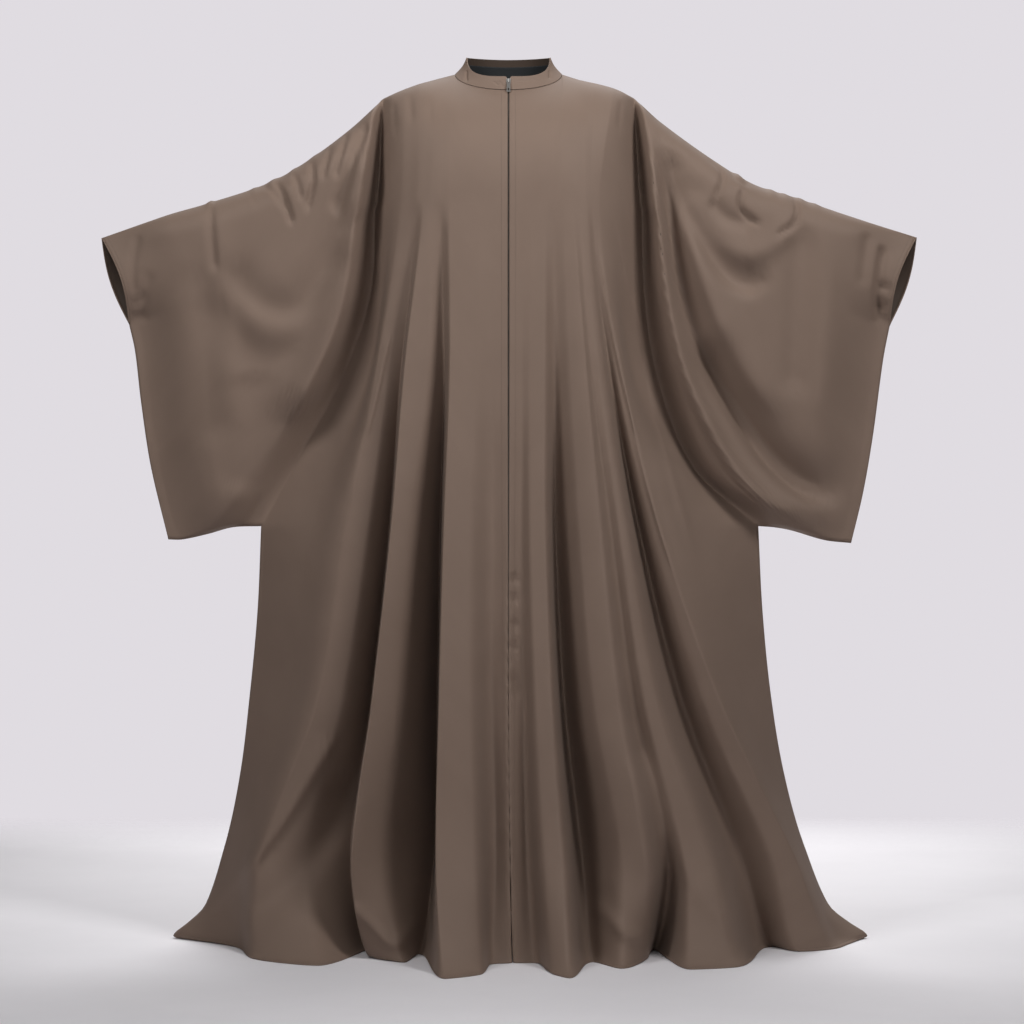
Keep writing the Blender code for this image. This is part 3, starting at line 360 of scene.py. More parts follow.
RIGHT_FRONT = (
    ("centre edge", 0.17, (0.17, 0.17, 0.14, 0.08, 0.36, 0.76), (15, 15.8, 17.2, 20, 22.5, 25), 0),
    ("placket hollow", 2.4, (2.2, 2.1, 2, 2.3, 3, 4), (15, 15.6, 16.4, 18.4, 20.2, 25), 0.2),
    ("placket pleat, in", 4.4, (3.8, 3.6, 3.6, 4.4, 5.6, 6.6), (15, 16, 17.8, 21.2, 25.6, 35), 0),
    ("placket pleat, out", 6, (5.6, 5.6, 5.7, 6.7, 8.3, 9.2), (14.95, 16, 17.9, 21.4, 26.4, 38.8), 0.1),
    ("lap valley", 7.4, (7.4, 7.5, 7.6, 9, 11.8, 13.2), (14.85, 13.8, 11.8, 11.4, 13.2, 24), 0.15),
    ("lap pleat, in", 8.8, (8.8, 9.9, 11.2, 13.5, 17.8, 17.4), (14.7, 15.4, 17, 19.8, 23.6, 30.2), 0.3),
    ("lap pleat, out", 10.2, (10.2, 12.2, 14.4, 17.2, 21.4, 21.6), (14.45, 16, 18, 21, 24.2, 22), 0.2),
    ("thigh hollow", 11.2, (11.2, 13.3, 16.3, 20, 25.4, 23.2), (14.2, 15, 16, 17.6, 17.6, 12.6), 0),
    ("thigh pleat, in", 12, (11.8, 14.3, 17.7, 21.8, 28, 28), (14, 15, 16.8, 19.2, 21, 31), 0),
    ("thigh pleat, out", 13, (12.5, 15.2, 18.8, 23.6, 31.6, 35.6), (13.75, 14.4, 16.2, 18.6, 20.4, 28.6),
     0),
    ("hip valley", 14, (13.3, 16.4, 21, 28, 37.6, 42.6), (13.35, 12, 9.8, 9.2, 8.8, 9), 0.1),
    ("side pleat, in", 15.4, (13.9, 17.3, 22.7, 31.2, 42.4, 46.4), (13, 12.5, 13.4, 13.8, 12.2, 14), 0.1),
    ("side pleat, out", 17.2, (14.8, 18.2, 24, 33.8, 46, 52.4), (12.4, 12.5, 14, 14.4, 11, 11.2), 0.8),
    ("side plane", 19, (18, 20.4, 31.6, 38.4, 47.6, 55.4), (9.2, 6.2, 7.6, 7.2, 5.4, 6.2), 0),
    ("side", 20.6, (21.7, 24.4, 41.2, 43.3, 49.6, 59.3), (2, 1.2, 0, 0, 0, 0), 0),
)
LEFT_BACK = (
    ("centre", 0, (0, 0, 0, 0, 0, 0), (12, 12.5, 15, 19.5, 25.5, 31), 0),
    ("seat valley", 5, (4.5, 5, 5.5, 6.5, 7.5, 8.5), (11.9, 12, 12.4, 13.2, 16, 22.5), 0),
    ("seat pleat", 8.8, (8.6, 9.6, 11, 13.5, 16, 18), (11.6, 12.4, 15, 19.2, 25, 32.5), 0.3),
    ("hip valley", 12, (12.2, 13.8, 16, 19.5, 22.5, 25), (10.8, 10.2, 10.6, 12, 14, 18.5), 0),
    ("hip pleat", 15, (15.4, 17.8, 21.5, 26.5, 31, 35.5), (9.6, 10.2, 12.8, 16.2, 20, 24.5), 0.2),
    ("side valley", 17.8, (18.4, 21.6, 28.5, 33.5, 38.5, 44.5), (7.6, 6.2, 8.2, 8.6, 9, 11), 0),
    ("side pleat", 19.4, (20.2, 24.6, 35.5, 38.5, 43.5, 51), (5.8, 4.6, 6, 6.6, 6.4, 7.2), 0),
    ("side", 20.6, (21.7, 27.1, 40.8, 42.7, 46.5, 55.4), (4, 3, 0, 0, 0, 0), 0),
)
RIGHT_BACK = (
    ("centre", 0, (0, 0, 0, 0, 0, 0), (12, 12.5, 15, 19.5, 25.5, 31), 0),
    ("seat valley", 5, (4.2, 4.4, 5, 6, 7.5, 9), (11.9, 12.1, 12.8, 14, 17, 23), 0),
    ("seat pleat", 8.8, (8.4, 8.8, 9.8, 12, 15, 18.5), (11.6, 12.6, 15.4, 20, 25.5, 32), 0.3),
    ("hip valley", 12, (11.8, 13, 15, 18, 22, 26.5), (10.8, 10, 10.4, 11.2, 13, 17), 0),
    ("hip pleat", 15, (15, 16.8, 20.5, 25, 31, 38), (9.6, 10.4, 13.2, 16.6, 19.5, 23), 0.2),
    ("side valley", 17.8, (18.2, 20.2, 27.5, 32.5, 39.5, 47), (7.6, 6, 8, 8, 8.2, 9.5), 0),
    ("side pleat", 19.4, (20, 22.4, 35, 38.5, 45.5, 54), (5.8, 4.6, 5.8, 6.2, 5.8, 5.5), 0),
    ("side", 20.6, (21.7, 24.4, 41.2, 43.3, 49.6, 59.3), (4, 3, 0, 0, 0, 0), 0),
)
HALVES = {
    ("left", "front"): (LEFT_FRONT, (12, 12, 16, 14, 20, 14, 14, 20, 16, 12, 20)),
    ("right", "front"): (RIGHT_FRONT, (10, 8, 10, 12, 18, 12, 10, 14, 10, 12, 18, 10, 14, 18)),
    ("left", "back"): (LEFT_BACK, (18, 18, 18, 18, 18, 18, 14)),
    ("right", "back"): (RIGHT_BACK, (18, 18, 18, 18, 18, 18, 14)),
}
YOKE_ROWS, BODICE_ROWS, SKIRT_ROWS = 26, 66, 90
YOKE_CROWDING = 1.5
SLEEVE_COLUMNS = {"front": 112, "back": 66}
SLEEVE_CROWDING = 1.15
print("fold lines:", sum(len(folds) for folds, _ in HALVES.values()))

# %% [markdown]
# The outline of each half, seen from the front: along the top of the arm, down the sleeve's outer edge, and
# along its foot to the underarm. Each point is its distance out from the middle and its height, in
# centimetres. `ARM_CREASE` is the deep crease where the sleeve bag meets the side of the body. A row of
# `ARM_ROOM` is a distance out, and half the depth that an arm fills there. A row of `ARM_RIPPLES` is the
# place, width and rise of one small ripple on top of the arm.

# %% Outlines of the sleeves
OVERARM = {
    "left": ((8.8, 142.5), (14.6, 140.9), (20.6, 138.5), (22, 137.1), (26.2, 133.3), (32.8, 128.4),
        (39.2, 124.7), (49.6, 121.2), (56.2, 119.3), (67.1, 115.5)),
    "right": ((8.8, 142.5), (12, 141.5), (17.4, 140.1), (20.6, 138.6), (21.7, 137.6), (25, 134.6),
        (33.6, 128.4), (40.3, 124.4), (47.4, 122.1), (56, 119.2), (67.3, 115.6)),
}
SLEEVE_EDGE = {
    "left": ((62.6, 101.4), (61.6, 96.9), (60.6, 88.4), (59, 77.9), (56.1, 65.8)),
    "right": ((62.9, 101.2), (61.8, 95.5), (60.1, 82.9), (58.5, 73.6), (56.5, 65.2)),
}
SLEEVE_FOOT = {
    "left": ((56.1, 65.8), (53.8, 65.8), (49.6, 66.7), (45.5, 67.8), (40.8, 68)),
    "right": ((56.5, 65.2), (52.1, 65.7), (46.6, 67.3), (43.8, 67.8), (41.2, 68)),
}
ARM_CREASE = {
    "left": ((21.9, 120), (22.7, 106), (27.1, 93), (33.9, 80.5), (40.8, 68)),
    "right": ((21.9, 120), (22.4, 106), (24.4, 93), (30.6, 77.5), (41.2, 68)),
}
SIDE_SEAM = {
    "left": ((40.8, 68), (41.4, 54), (42.7, 40), (44.3, 27), (46.9, 15), (50, 7.4), (53, 4.6), (54.8, 2.9),
        (55.3, 1.4), (54.8, 0)),
    "right": ((41.2, 68), (41.9, 54), (43.3, 40), (45.5, 27), (48.9, 15), (52.8, 7.4), (56.4, 4.6),
        (58.6, 2.9), (59.2, 1.4), (58.7, 0)),
}
CUFF_BOW = {"front": 1.3 * CM, "back": -1.2 * CM}
CUFF_OPEN = 2.6 * CM
ARM_ROOM = ((20.0, 6.2), (30.0, 6.0), (45.0, 5.2), (56.0, 4.2), (67.0, 3.0))
ARM_SLACK = 0.35
FOOT_ROUNDING = 6 * CM
EDGE_ROUNDING = 11 * CM
CREASE_RISE = {"left": (1.5 * CM, 9.0 * CM), "right": (1.5 * CM, 5.0 * CM)}
ARM_RIPPLES = {
    "left": ((49.1, 0.5, 0.3), (41.9, 0.6, 0.14), (38.7, 0.9, 0.28), (35.4, 0.6, 0.16), (32, 0.8, 0.12)),
    "right": ((37.8, 0.7, 0.32), (43.2, 0.7, 0.2), (45.4, 0.6, 0.16), (48, 0.7, 0.2), (50.5, 0.7, 0.16)),
}

# %% [markdown]
# Smaller creases are strokes laid over the cloth, in centimetres too: a stroke is a line of points seen
# from the front, with the width of its slope on either side and the rise of its crest. Where the line runs
# downwards, its outer side is the one away from the middle. A trough has a negative rise. The strokes of
# the sleeves are the swags that hang between the arm and the body. They are of uneven length and depth, and
# the hidden back gets similar ones.

# %% Strokes on the sleeves and the body
Stroke = namedtuple("Stroke", "name points inner outer rise")

SLEEVE_STROKES = {
    ("left", "front"): (
        ("edge roll", ((22.3, 133.2), (23.6, 122.7), (24.9, 112.9), (27.7, 100.8), (31.5, 91), (36, 83)), 2,
         4.2, 3),
        ("shoulder trough", ((22.6, 134.6), (25.2, 127.3), (28, 118.2)), 0.8, 1.4, -1.4),
        ("upper trough", ((24.5, 121.7), (28, 113.3), (30.8, 107.7), (35, 103.6), (40.6, 104.6),
         (47.4, 112.6)), 2, 3, -0.9),
        ("upper swag", ((45.9, 106.8), (40.6, 100.9), (35, 99.9), (30.4, 103.6), (26.6, 112)), 2.2, 2.8,
         0.4),
        ("lower trough", ((48, 108), (45.6, 100.6), (40.4, 95.4), (34.4, 96.8), (29.4, 104), (25.6, 115)),
         3.2, 4.2, -1),
        ("arm pinch", ((48.9, 121.6), (48.6, 118.2), (47.7, 109)), 0.6, 0.9, -0.6),
        ("arm pinch roll", ((47.8, 120.6), (46.9, 112), (46.3, 104), (45.6, 94), (44, 82)), 1.8, 2.8, 0.5),
        ("bag shade", ((50.6, 112), (50, 100), (49.4, 80)), 3, 3.6, -0.5),
        ("foot shade", ((42, 94), (40.6, 82), (43, 72)), 4, 4.4, -0.8),
        ("arm tuck one", ((38.4, 124.8), (36.6, 121.9), (35, 117)), 0.4, 0.55, -0.9),
        ("arm tuck two", ((40.4, 124.2), (38, 122.2), (36.2, 119.6)), 0.35, 0.5, -0.6),
        ("arm tuck three", ((35.5, 126.2), (34.1, 123.2), (33.6, 120.8)), 0.35, 0.45, -0.6),
        ("arm tuck four", ((32.2, 128.4), (31.8, 123.9), (32.9, 119.2)), 0.4, 0.6, -0.8),
        ("arm tuck five", ((42.6, 123.6), (41.4, 120.6)), 0.3, 0.4, -0.25),
        ("arm tuck six", ((29, 130.4), (30.2, 124.4)), 0.35, 0.5, -0.6),
        ("arm tuck seven", ((26.2, 132.8), (28.2, 124.4)), 0.4, 0.6, -0.8),
        ("foot tuck", ((43.6, 67.6), (41.8, 70.2), (40.6, 73.4)), 0.5, 0.8, -1.1),
    ),
    ("right", "front"): (
        ("crease trough", ((21.4, 133.5), (21.9, 125), (22.4, 111), (24.9, 94.4), (27.2, 86), (32, 77)),
         0.8, 1.2, -1.2),
        ("edge roll", ((22.7, 134.3), (23.4, 125.2), (24.5, 116.1), (25.7, 105.6), (28.2, 94.4), (31.7, 86),
         (36.6, 77.6), (42.4, 71.6), (50, 69)), 1.1, 1.5, 2.6),
        ("long trough", ((24.1, 133.6), (25.5, 125.2), (26.6, 116.1), (28.7, 105.6), (32.2, 95.8),
         (37.8, 86), (44, 77.6), (50, 73.2), (57, 72.4)), 1.4, 2.4, -2.6),
        ("foot hollow", ((31, 100), (36.4, 89.4), (43, 79.6), (50, 74.6), (60, 73)), 2.4, 4.2, -2.4),
        ("long roll", ((24.8, 132.2), (26.6, 125.2), (28.7, 116.8), (31.5, 108.4), (35.2, 99.3),
         (39.6, 91.4), (45.4, 84.6)), 1.4, 3, 1.3),
        ("upper trough", ((26.4, 131), (28, 123.1), (31.5, 115.4), (35, 109.9), (39, 107.6), (43.6, 109.8)),
         1.6, 3.2, -1.7),
        ("upper swag", ((29.4, 123), (33.6, 115.4), (38.5, 112.2), (43.4, 114), (46.6, 118.6)), 1.6, 2.4,
         0.8),
        ("swag crease", ((46.7, 122.6), (47.2, 119.6), (46.2, 117.2), (43, 115.2)), 0.35, 0.5, -0.9),
        ("arm hollow", ((32.6, 121.4), (35.6, 118.2), (40.2, 117)), 1, 1.3, -0.8),
        ("arm tuck one", ((32.4, 128.6), (35, 125.3), (33.4, 121.2)), 0.35, 0.5, -0.8),
        ("arm tuck two", ((36, 127.2), (37.8, 124.4), (39.8, 123.8)), 0.3, 0.4, -0.7),
        ("arm tuck three", ((38.3, 123.4), (37.8, 119.8), (41.4, 116.8)), 0.4, 0.5, -0.9),
        ("bag fold one", ((48, 118), (47.2, 106), (46.4, 88)), 2.2, 2.6, -0.7),
        ("bag roll", ((51.8, 119.4), (51.4, 104), (51, 84)), 2, 2.6, 0.4),
        ("bag fold two", ((59, 116.6), (58, 107)), 1, 1.4, -0.8),
        ("foot dimple", ((50.4, 67.9), (52.4, 67.3)), 0.8, 0.9, -0.5),
    ),
    ("left", "back"): (
        ("edge roll", ((22.4, 132.5), (23.8, 121), (26.4, 107), (31.4, 92), (41.5, 73)), 2.2, 3.4, 2.4),
        ("upper swag", ((47, 114), (42, 106.5), (37, 104), (31, 108), (27.8, 116)), 2, 2.6, 1.1),
        ("upper trough", ((46.6, 107.5), (41.5, 100.6), (37, 98.6), (31.6, 102.6), (28.6, 110)), 1.6, 2.4,
         -1.4),
        ("lower swag", ((49, 101), (45, 88), (40, 80.8), (35, 83), (30, 95)), 2.6, 3.2, 1.3),
        ("foot trough", ((52, 84), (47, 77), (42, 72.6)), 1.8, 2.4, -1.1),
        ("arm tuck", ((37.4, 125), (36.2, 119)), 0.5, 0.7, -0.5),
    ),
    ("right", "back"): (
        ("edge roll", ((22.6, 131), (23.6, 119), (26, 104), (31, 89), (43, 72)), 2, 3, 2.4),
        ("upper trough", ((26.5, 116), (31, 106), (36.5, 101.6), (42, 104), (47.5, 113)), 1.6, 2.4, -1.5),
        ("lower swag", ((27.5, 102), (32, 89), (38, 83), (44, 86.5), (49.5, 99)), 2.6, 3.4, 1.3),
        ("foot trough", ((40, 76), (46, 74.6), (53, 78)), 1.8, 2.4, -1),
        ("arm tuck one", ((34.6, 126), (35.4, 120)), 0.5, 0.7, -0.5),
        ("arm tuck two", ((41, 122.6), (41.4, 118)), 0.4, 0.6, -0.4),
    ),
}
CUFF_STROKES = {
    ("left", "front"): (
        ("crease", ((60.6, 116.4), (61.6, 110.6), (61.4, 105.4)), 0.6, 0.8, -0.3),
        ("fold", ((58.6, 110), (59.8, 105), (60.2, 101.4)), 0.8, 1, -0.25),
        ("pucker one", ((63.4, 105.6), (61.4, 104.8), (59.4, 106.4)), 0.5, 0.6, -0.35),
        ("pucker two", ((63.2, 103.4), (61.2, 102.6), (59.6, 103.4)), 0.5, 0.6, -0.3),
    ),
    ("right", "front"): (
        ("crease", ((61.6, 114.6), (60.8, 109.4), (60.6, 104.6), (61.2, 101.6)), 0.7, 0.9, -1),
        ("pucker one", ((63.8, 107.6), (62.4, 107), (60.8, 108.2)), 0.5, 0.7, -0.65),
        ("pucker two", ((63.4, 105), (62, 104.2), (60.6, 105.2)), 0.5, 0.7, -0.65),
        ("pucker three", ((63, 102.8), (61.6, 102.2), (60.4, 102.8)), 0.5, 0.7, -0.55),
    ),
    ("left", "back"): (("crease", ((60.2, 114), (61, 108), (60.6, 103)), 0.8, 1, -0.4),),
    ("right", "back"): (("crease", ((60.8, 113), (61.6, 107), (60.8, 102.6)), 0.8, 1, -0.4),),
}
CUFF_FADE = 1.4 * CM
BODY_STROKES = {
    ("left", "front"): (
        ("side line", ((19, 99.4), (21.4, 88.2), (23, 81.8)), 0.35, 0.7, 0.35),
        ("centre seam", ((0.14, 62), (0.08, 40), (-0.18, 15), (-0.58, 0), (-0.8, -14)), 0.25, 0.25, -0.35),
        ("hem sweep", ((27, 36), (31.6, 28), (37.4, 19), (45.6, 9), (50, 4.6), (53, 3.2)), 1, 1.8, 1.1),
        ("hem hollow", ((24.8, 30), (29.4, 18), (36, 9.5), (44, 4.6)), 2.2, 3, -1.6),
        ("hem dart", ((13.6, 5.4), (18, 2.6), (21, 5), (25, 9)), 0.7, 0.9, 0.9),
        ("shoulder gather one", ((18.9, 137.5), (18.4, 131.5)), 0.6, 0.8, -0.3),
        ("shoulder gather two", ((16.1, 138.5), (15.6, 133.5)), 0.6, 0.8, -0.2),
        ("shoulder gather three", ((12.9, 137.5), (12.5, 133)), 0.6, 0.8, -0.12),
    ),
    ("right", "front"): (
        ("side line", ((16.9, 120.2), (19.6, 107.7), (22.3, 96.5), (24.1, 85.2), (26.9, 73.9),
         (30.1, 62.6)), 0.4, 0.8, 0.4),
        ("edge line", ((14.6, 113.6), (15.8, 104.1), (19, 88.2), (22.9, 72.2), (27.8, 56.3)), 0.35, 0.6,
         0.4),
        ("shoulder gather", ((18.3, 137.5), (17.8, 132)), 0.5, 0.6, -0.3),
        ("centre seam", ((0.14, 62), (0.08, 40), (0.36, 15), (0.76, 0), (0.9, -14)), 0.25, 0.25, -0.35),
        ("hem sweep", ((19.4, 33), (25, 20), (31, 10), (38, 4)), 2, 2.6, 0.9),
        ("hem turn", ((13.4, 9), (17, 5.6), (21.4, 3.4)), 0.8, 1.2, 1),
        ("placket pucker one", ((0.4, 60.4), (0.9, 59.6), (1.7, 60.2)), 0.5, 0.7, -0.45),
        ("placket pucker two", ((0.4, 57.2), (0.9, 56.4), (1.6, 56.8)), 0.5, 0.7, -0.4),
        ("placket pucker three", ((0.4, 53.4), (0.9, 52.4), (1.5, 51.4)), 0.5, 0.7, -0.45),
        ("placket pucker four", ((0.4, 49.6), (0.9, 48.8), (1.6, 49.2)), 0.5, 0.7, -0.4),
        ("placket crease", ((0.6, 44.8), (1.1, 43.2), (1.8, 41.2)), 0.5, 0.7, -0.5),
    ),
    ("left", "back"): (
        ("shoulder gather one", ((17.4, 137), (16.8, 130)), 0.6, 0.8, -0.3),
        ("shoulder gather two", ((13.4, 138), (13, 132)), 0.6, 0.8, -0.2),
    ),
    ("right", "back"): (
        ("shoulder gather one", ((18, 137), (17.4, 130)), 0.6, 0.8, -0.3),
        ("shoulder gather two", ((14, 138), (13.6, 132.6)), 0.6, 0.8, -0.2),
    ),
}
STROKE_SAMPLES = 72
STROKE_FADE = 0.16
STROKE_REACH = 3.0
ALL_STROKES = (SLEEVE_STROKES, CUFF_STROKES, BODY_STROKES)
print("strokes:", sum(len(rows) for table in ALL_STROKES for rows in table.values()))


# %% Laying strokes on a grid
def stroke_rise(out, height, strokes):
    """How far strokes lift the cloth: rise · fade · exp(-(distance / width)²), with the width of the side
    that the point lies on, and a fade to nothing over the first and last sixth of the stroke."""
    rise = np.zeros_like(out)
    place = np.stack([out, height], axis=-1)
    t = np.linspace(0.0, 1.0, STROKE_SAMPLES)
    for stroke in map(Stroke._make, strokes):
        path = along(stroke.points, t)
        reach = STROKE_REACH * max(stroke.inner, stroke.outer) * CM
        near = ((place > path.min(axis=0) - reach) & (place < path.max(axis=0) + reach)).all(axis=-1)
        if not near.any():
            continue
        away = place[near][:, None] - path
        distance = norms(away)
        nearest = distance.argmin(axis=-1)
        pick = np.arange(len(nearest))
        way = np.gradient(path, axis=0)[nearest]
        side = way[:, 0] * away[pick, nearest, 1] - way[:, 1] * away[pick, nearest, 0]
        width = np.where(side > 0, stroke.outer, stroke.inner) * CM
        share = t[nearest]
        fade = smooth_step(share / STROKE_FADE) * smooth_step((1.0 - share) / STROKE_FADE)
        rise[near] += stroke.rise * CM * fade * np.exp(-((distance[pick, nearest] / width) ** 2))
    return rise


# %% [markdown]
# A section of the body runs through the fold lines at one height. Between two lines it is a cubic. At a
# fold line the slope vanishes where the cloth turns back, so that no fold overshoots, and a crisp line
# keeps a different slope on either side. In the yoke the cloth rises over the shoulders to its seam. The
# seam's own depth shows only in the last rows, and a copy of it, softened from side to side, leads the rest
# of the yoke there without a crease.


# %% Sections of the body
def across_folds(lines, steps, crisp):
    """Sections between fold lines: lines is (rows, folds, 2) and each gap between neighbours gets its
    number of steps. slope = harmonic mean of the slopes on either side, or 0 at a turn, mixed with the
    gap's own by crisp."""
    gaps = np.diff(lines, axis=1)
    chords = np.maximum(np.linalg.norm(gaps, axis=2, keepdims=True), SHORTEST)
    secants = gaps / chords
    before, after = secants[:, :-1], secants[:, 1:]
    same_way = before * after > 0
    means = np.where(same_way, 2 * before * after / np.where(same_way, before + after, 1.0), 0.0)
    slopes = np.concatenate([secants[:, :1], means, secants[:, -1:]], axis=1)
    sharp = crisp[..., None]
    leaving = slopes[:, :-1] * (1 - sharp[:, :-1]) + secants * sharp[:, :-1]
    arriving = slopes[:, 1:] * (1 - sharp[:, 1:]) + secants * sharp[:, 1:]
    pieces = []
    for k, count in enumerate(steps):
        t = (np.arange(count) / count)[None, :, None]
        reach = chords[:, k : k + 1]
        start, end = lines[:, k : k + 1], lines[:, k + 1 : k + 2]
        pieces.append(hermite(start, end, leaving[:, k : k + 1] * reach, arriving[:, k : k + 1] * reach, t))
    return np.concatenate(pieces + [lines[:, -1:]], axis=1)


def neck_point(out, face):
    """Depth and height of the neck seam: half an ellipse seen from above, lower in the middle than at the
    sides."""
    cosine = np.sqrt(np.clip(1.0 - (out / NECK_HALF_WIDTH) ** 2, 0.0, 1.0))
    depth = NECK_FRONT if face == "front" else NECK_BACK
    middle = NECK_FRONT_HEIGHT if face == "front" else NECK_BACK_HEIGHT
    return depth * cosine, middle + (NECK_SIDE_HEIGHT - middle) * (1.0 - cosine)


def landed(level):
    """Height of the cloth at a section's level: the level itself down to LANDING, and below it a cubic that
    flattens out on the floor."""
    share = np.clip(level / LANDING, 0.0, 1.0)
    flattened = HEM_REST + (LANDING - HEM_REST) * share**2 * (2.0 - share)
    return np.where(level < LANDING, flattened, level)


def yoke_depth(side, face, x, z, bust_depth):
    """Depth of the yoke: bust_depth · profile(t), where t runs from 0 at the top of the shoulders to 1 at
    the bust. profile = 1 - (1 - t)^power over the collarbone, and a quarter circle farther out."""
    top = outline(YOKE_TOP[face] + OVERARM[side], x)
    left = 1.0 - np.clip((top - z) / (top - FOLD_LEVELS[0]), 0.0, 1.0)
    start, end = ROUNDING[face]
    roundness = smooth_step((x - start) / (end - start))
    slope = 1.0 - left**YOKE_POWER
    return bust_depth * (slope + (np.sqrt(1.0 - left**2) - slope) * roundness)


def raised_yoke(side, face, x, z, bust_depth, edge_depth, down):
    """Depth of the yoke's rows, with their top row on the seam: yoke_depth + (push · own + softened push ·
    (1 - own)) · (1 - down)^fade, where down runs from 0 at the seam to 1 at the bust, push is what the top
    row lacks to the seam, and own = (1 - down)^20 is near 1 in the first rows alone."""
    rounded = yoke_depth(side, face, x, z, bust_depth)
    push = edge_depth - rounded[0]
    nearness = np.exp(-(((x[0][:, None] - x[0]) / YOKE_BLUR) ** 2)) * np.gradient(x[0])
    soft_push = nearness @ push / nearness.sum(axis=1)
    own = (1.0 - down) ** YOKE_OWN
    return rounded + (push * own + soft_push * (1.0 - own)) * (1.0 - down) ** YOKE_FADE


def body_block(side, face):
    """Distance out, depth and height of the body's points, as rows by columns, and the neck point's
    column."""
    rows, steps = HALVES[side, face]
    folds = [Fold(*row) for row in rows]
    top = np.array([fold.top for fold in folds]) * CM
    out = np.array([fold.out for fold in folds]).T * CM
    deep = np.array([fold.deep for fold in folds]).T * CM
    neck_depth, neck_height = neck_point(top, face)
    on_neck = top <= NECK_HALF_WIDTH + SHORTEST
    top_height = np.where(on_neck, neck_height, overarm_height(side, top))

    bust, hip = FOLD_LEVELS[0], FOLD_LEVELS[HIP_LEVEL]
    yoke = (np.arange(YOKE_ROWS) / YOKE_ROWS) ** YOKE_CROWDING
    bodice = bust + (hip - bust) * np.arange(BODICE_ROWS) / BODICE_ROWS
    skirt = hip * (1.0 - np.arange(SKIRT_ROWS + 1) / SKIRT_ROWS)
    levels = np.concatenate([bodice, skirt])

    yoke_levels = top_height + (bust - top_height) * yoke[:, None]
    row_levels = np.concatenate([yoke_levels, np.repeat(levels[:, None], len(top), axis=1)])
    knots = np.concatenate([np.repeat(FOLD_LEVELS[::-1, None], len(top), axis=1), top_height[None]])
    line_out = through(knots, np.concatenate([out[::-1], top[None]]), row_levels)
    line_deep = through(FOLD_LEVELS[::-1, None], deep[::-1], np.minimum(row_levels, bust))
    armpit = slice(YOKE_ROWS, YOKE_ROWS + BODICE_ROWS + 1)
    line_out[armpit, -1] = outline(np.array(ARM_CREASE[side])[:, ::-1], row_levels[armpit, -1])
    below = slice(YOKE_ROWS + BODICE_ROWS, None)
    line_out[below, -1] = outline(np.array(SIDE_SEAM[side])[:, ::-1], row_levels[below, -1])

    sharpening = smooth_step((bust - row_levels) / SHARPENING) * smooth_step(row_levels / SPREADING)
    crisp = np.array([fold.crisp for fold in folds]) * sharpening
    section = across_folds(np.stack([line_out, line_deep], axis=-1), steps, crisp)
    x, y = section[..., 0], section[..., 1]
    neck_folds = int(on_neck.sum())
    corner_column = sum(steps[: neck_folds - 1])
    on_neck_seam = np.arange(x.shape[1]) <= corner_column
    places = [k + np.arange(count) / count for k, count in enumerate(steps[: neck_folds - 1])]
    fold_angles = np.arcsin(np.minimum(top[:neck_folds] / NECK_HALF_WIDTH, 1.0))
    angles = np.interp(np.concatenate(places), np.arange(neck_folds), fold_angles)
    shift = NECK_HALF_WIDTH * np.sin(angles) - x[0, :corner_column]
    x[:YOKE_ROWS, :corner_column] += shift * (1.0 - yoke[:, None])
    edge_depth, edge_height = neck_point(x[0], face)
    edge_height = np.where(on_neck_seam, edge_height, overarm_height(side, x[0]))
    edge_depth = np.where(on_neck_seam, edge_depth, 0.0)

    z = np.repeat(landed(row_levels[:, :1]), x.shape[1], axis=1)
    z[:YOKE_ROWS] = edge_height + (bust - edge_height) * yoke[:, None]
    top_x, top_z, bust_depth = x[:YOKE_ROWS], z[:YOKE_ROWS], y[YOKE_ROWS]
    y[:YOKE_ROWS] = raised_yoke(side, face, top_x, top_z, bust_depth, edge_depth, yoke[:, None])
    y += stroke_rise(x, z, BODY_STROKES[side, face])
    return np.stack([x, y, z], axis=-1), corner_column


# %% [markdown]
# The sleeve bag is a sheet stretched between four edges: the overarm, the cuff with the outer edge, the
# foot, and the crease beside the body. It is a Coons patch: the blend of each pair of opposite edges, added
# up, less the blend of the corners. The sheet is then filled out over the arm, rounded at its edges, and
# given its swags.


# %% Sleeves
def sleeve_edges(side, face, crease_line, u, v):
    """The sleeve's edges seen from the front, and how far along the cuff each row ends, from 0 to 1."""
    shoulder = crease_line[0, 0]
    arm_out = shoulder + (OVERARM[side][-1][0] * CM - shoulder) * u
    overarm = np.stack([arm_out, overarm_height(side, arm_out)], axis=-1)
    foot = along(SLEEVE_FOOT[side][::-1], u)
    tip, cuff_foot = np.array(OVERARM[side][-1]) * CM, np.array(SLEEVE_EDGE[side][0]) * CM
    cuff_length = norms(tip - cuff_foot)
    edge_length = norms(np.diff(np.array(SLEEVE_EDGE[side]) * CM, axis=0)).sum()
    reach = v * (cuff_length + edge_length)
    in_cuff = np.clip(reach / cuff_length, 0.0, 1.0)
    cuff = tip + (cuff_foot - tip) * in_cuff[:, None]
    cuff[:, 0] -= CUFF_BOW[face] * np.sin(np.pi * in_cuff)
    below = along(SLEEVE_EDGE[side], np.clip((reach - cuff_length) / edge_length, 0.0, 1.0))
    outer = np.where((reach < cuff_length)[:, None], cuff, below)
    foot[0], foot[-1] = crease_line[-1, ::2], outer[-1]
    return overarm, foot, outer, in_cuff


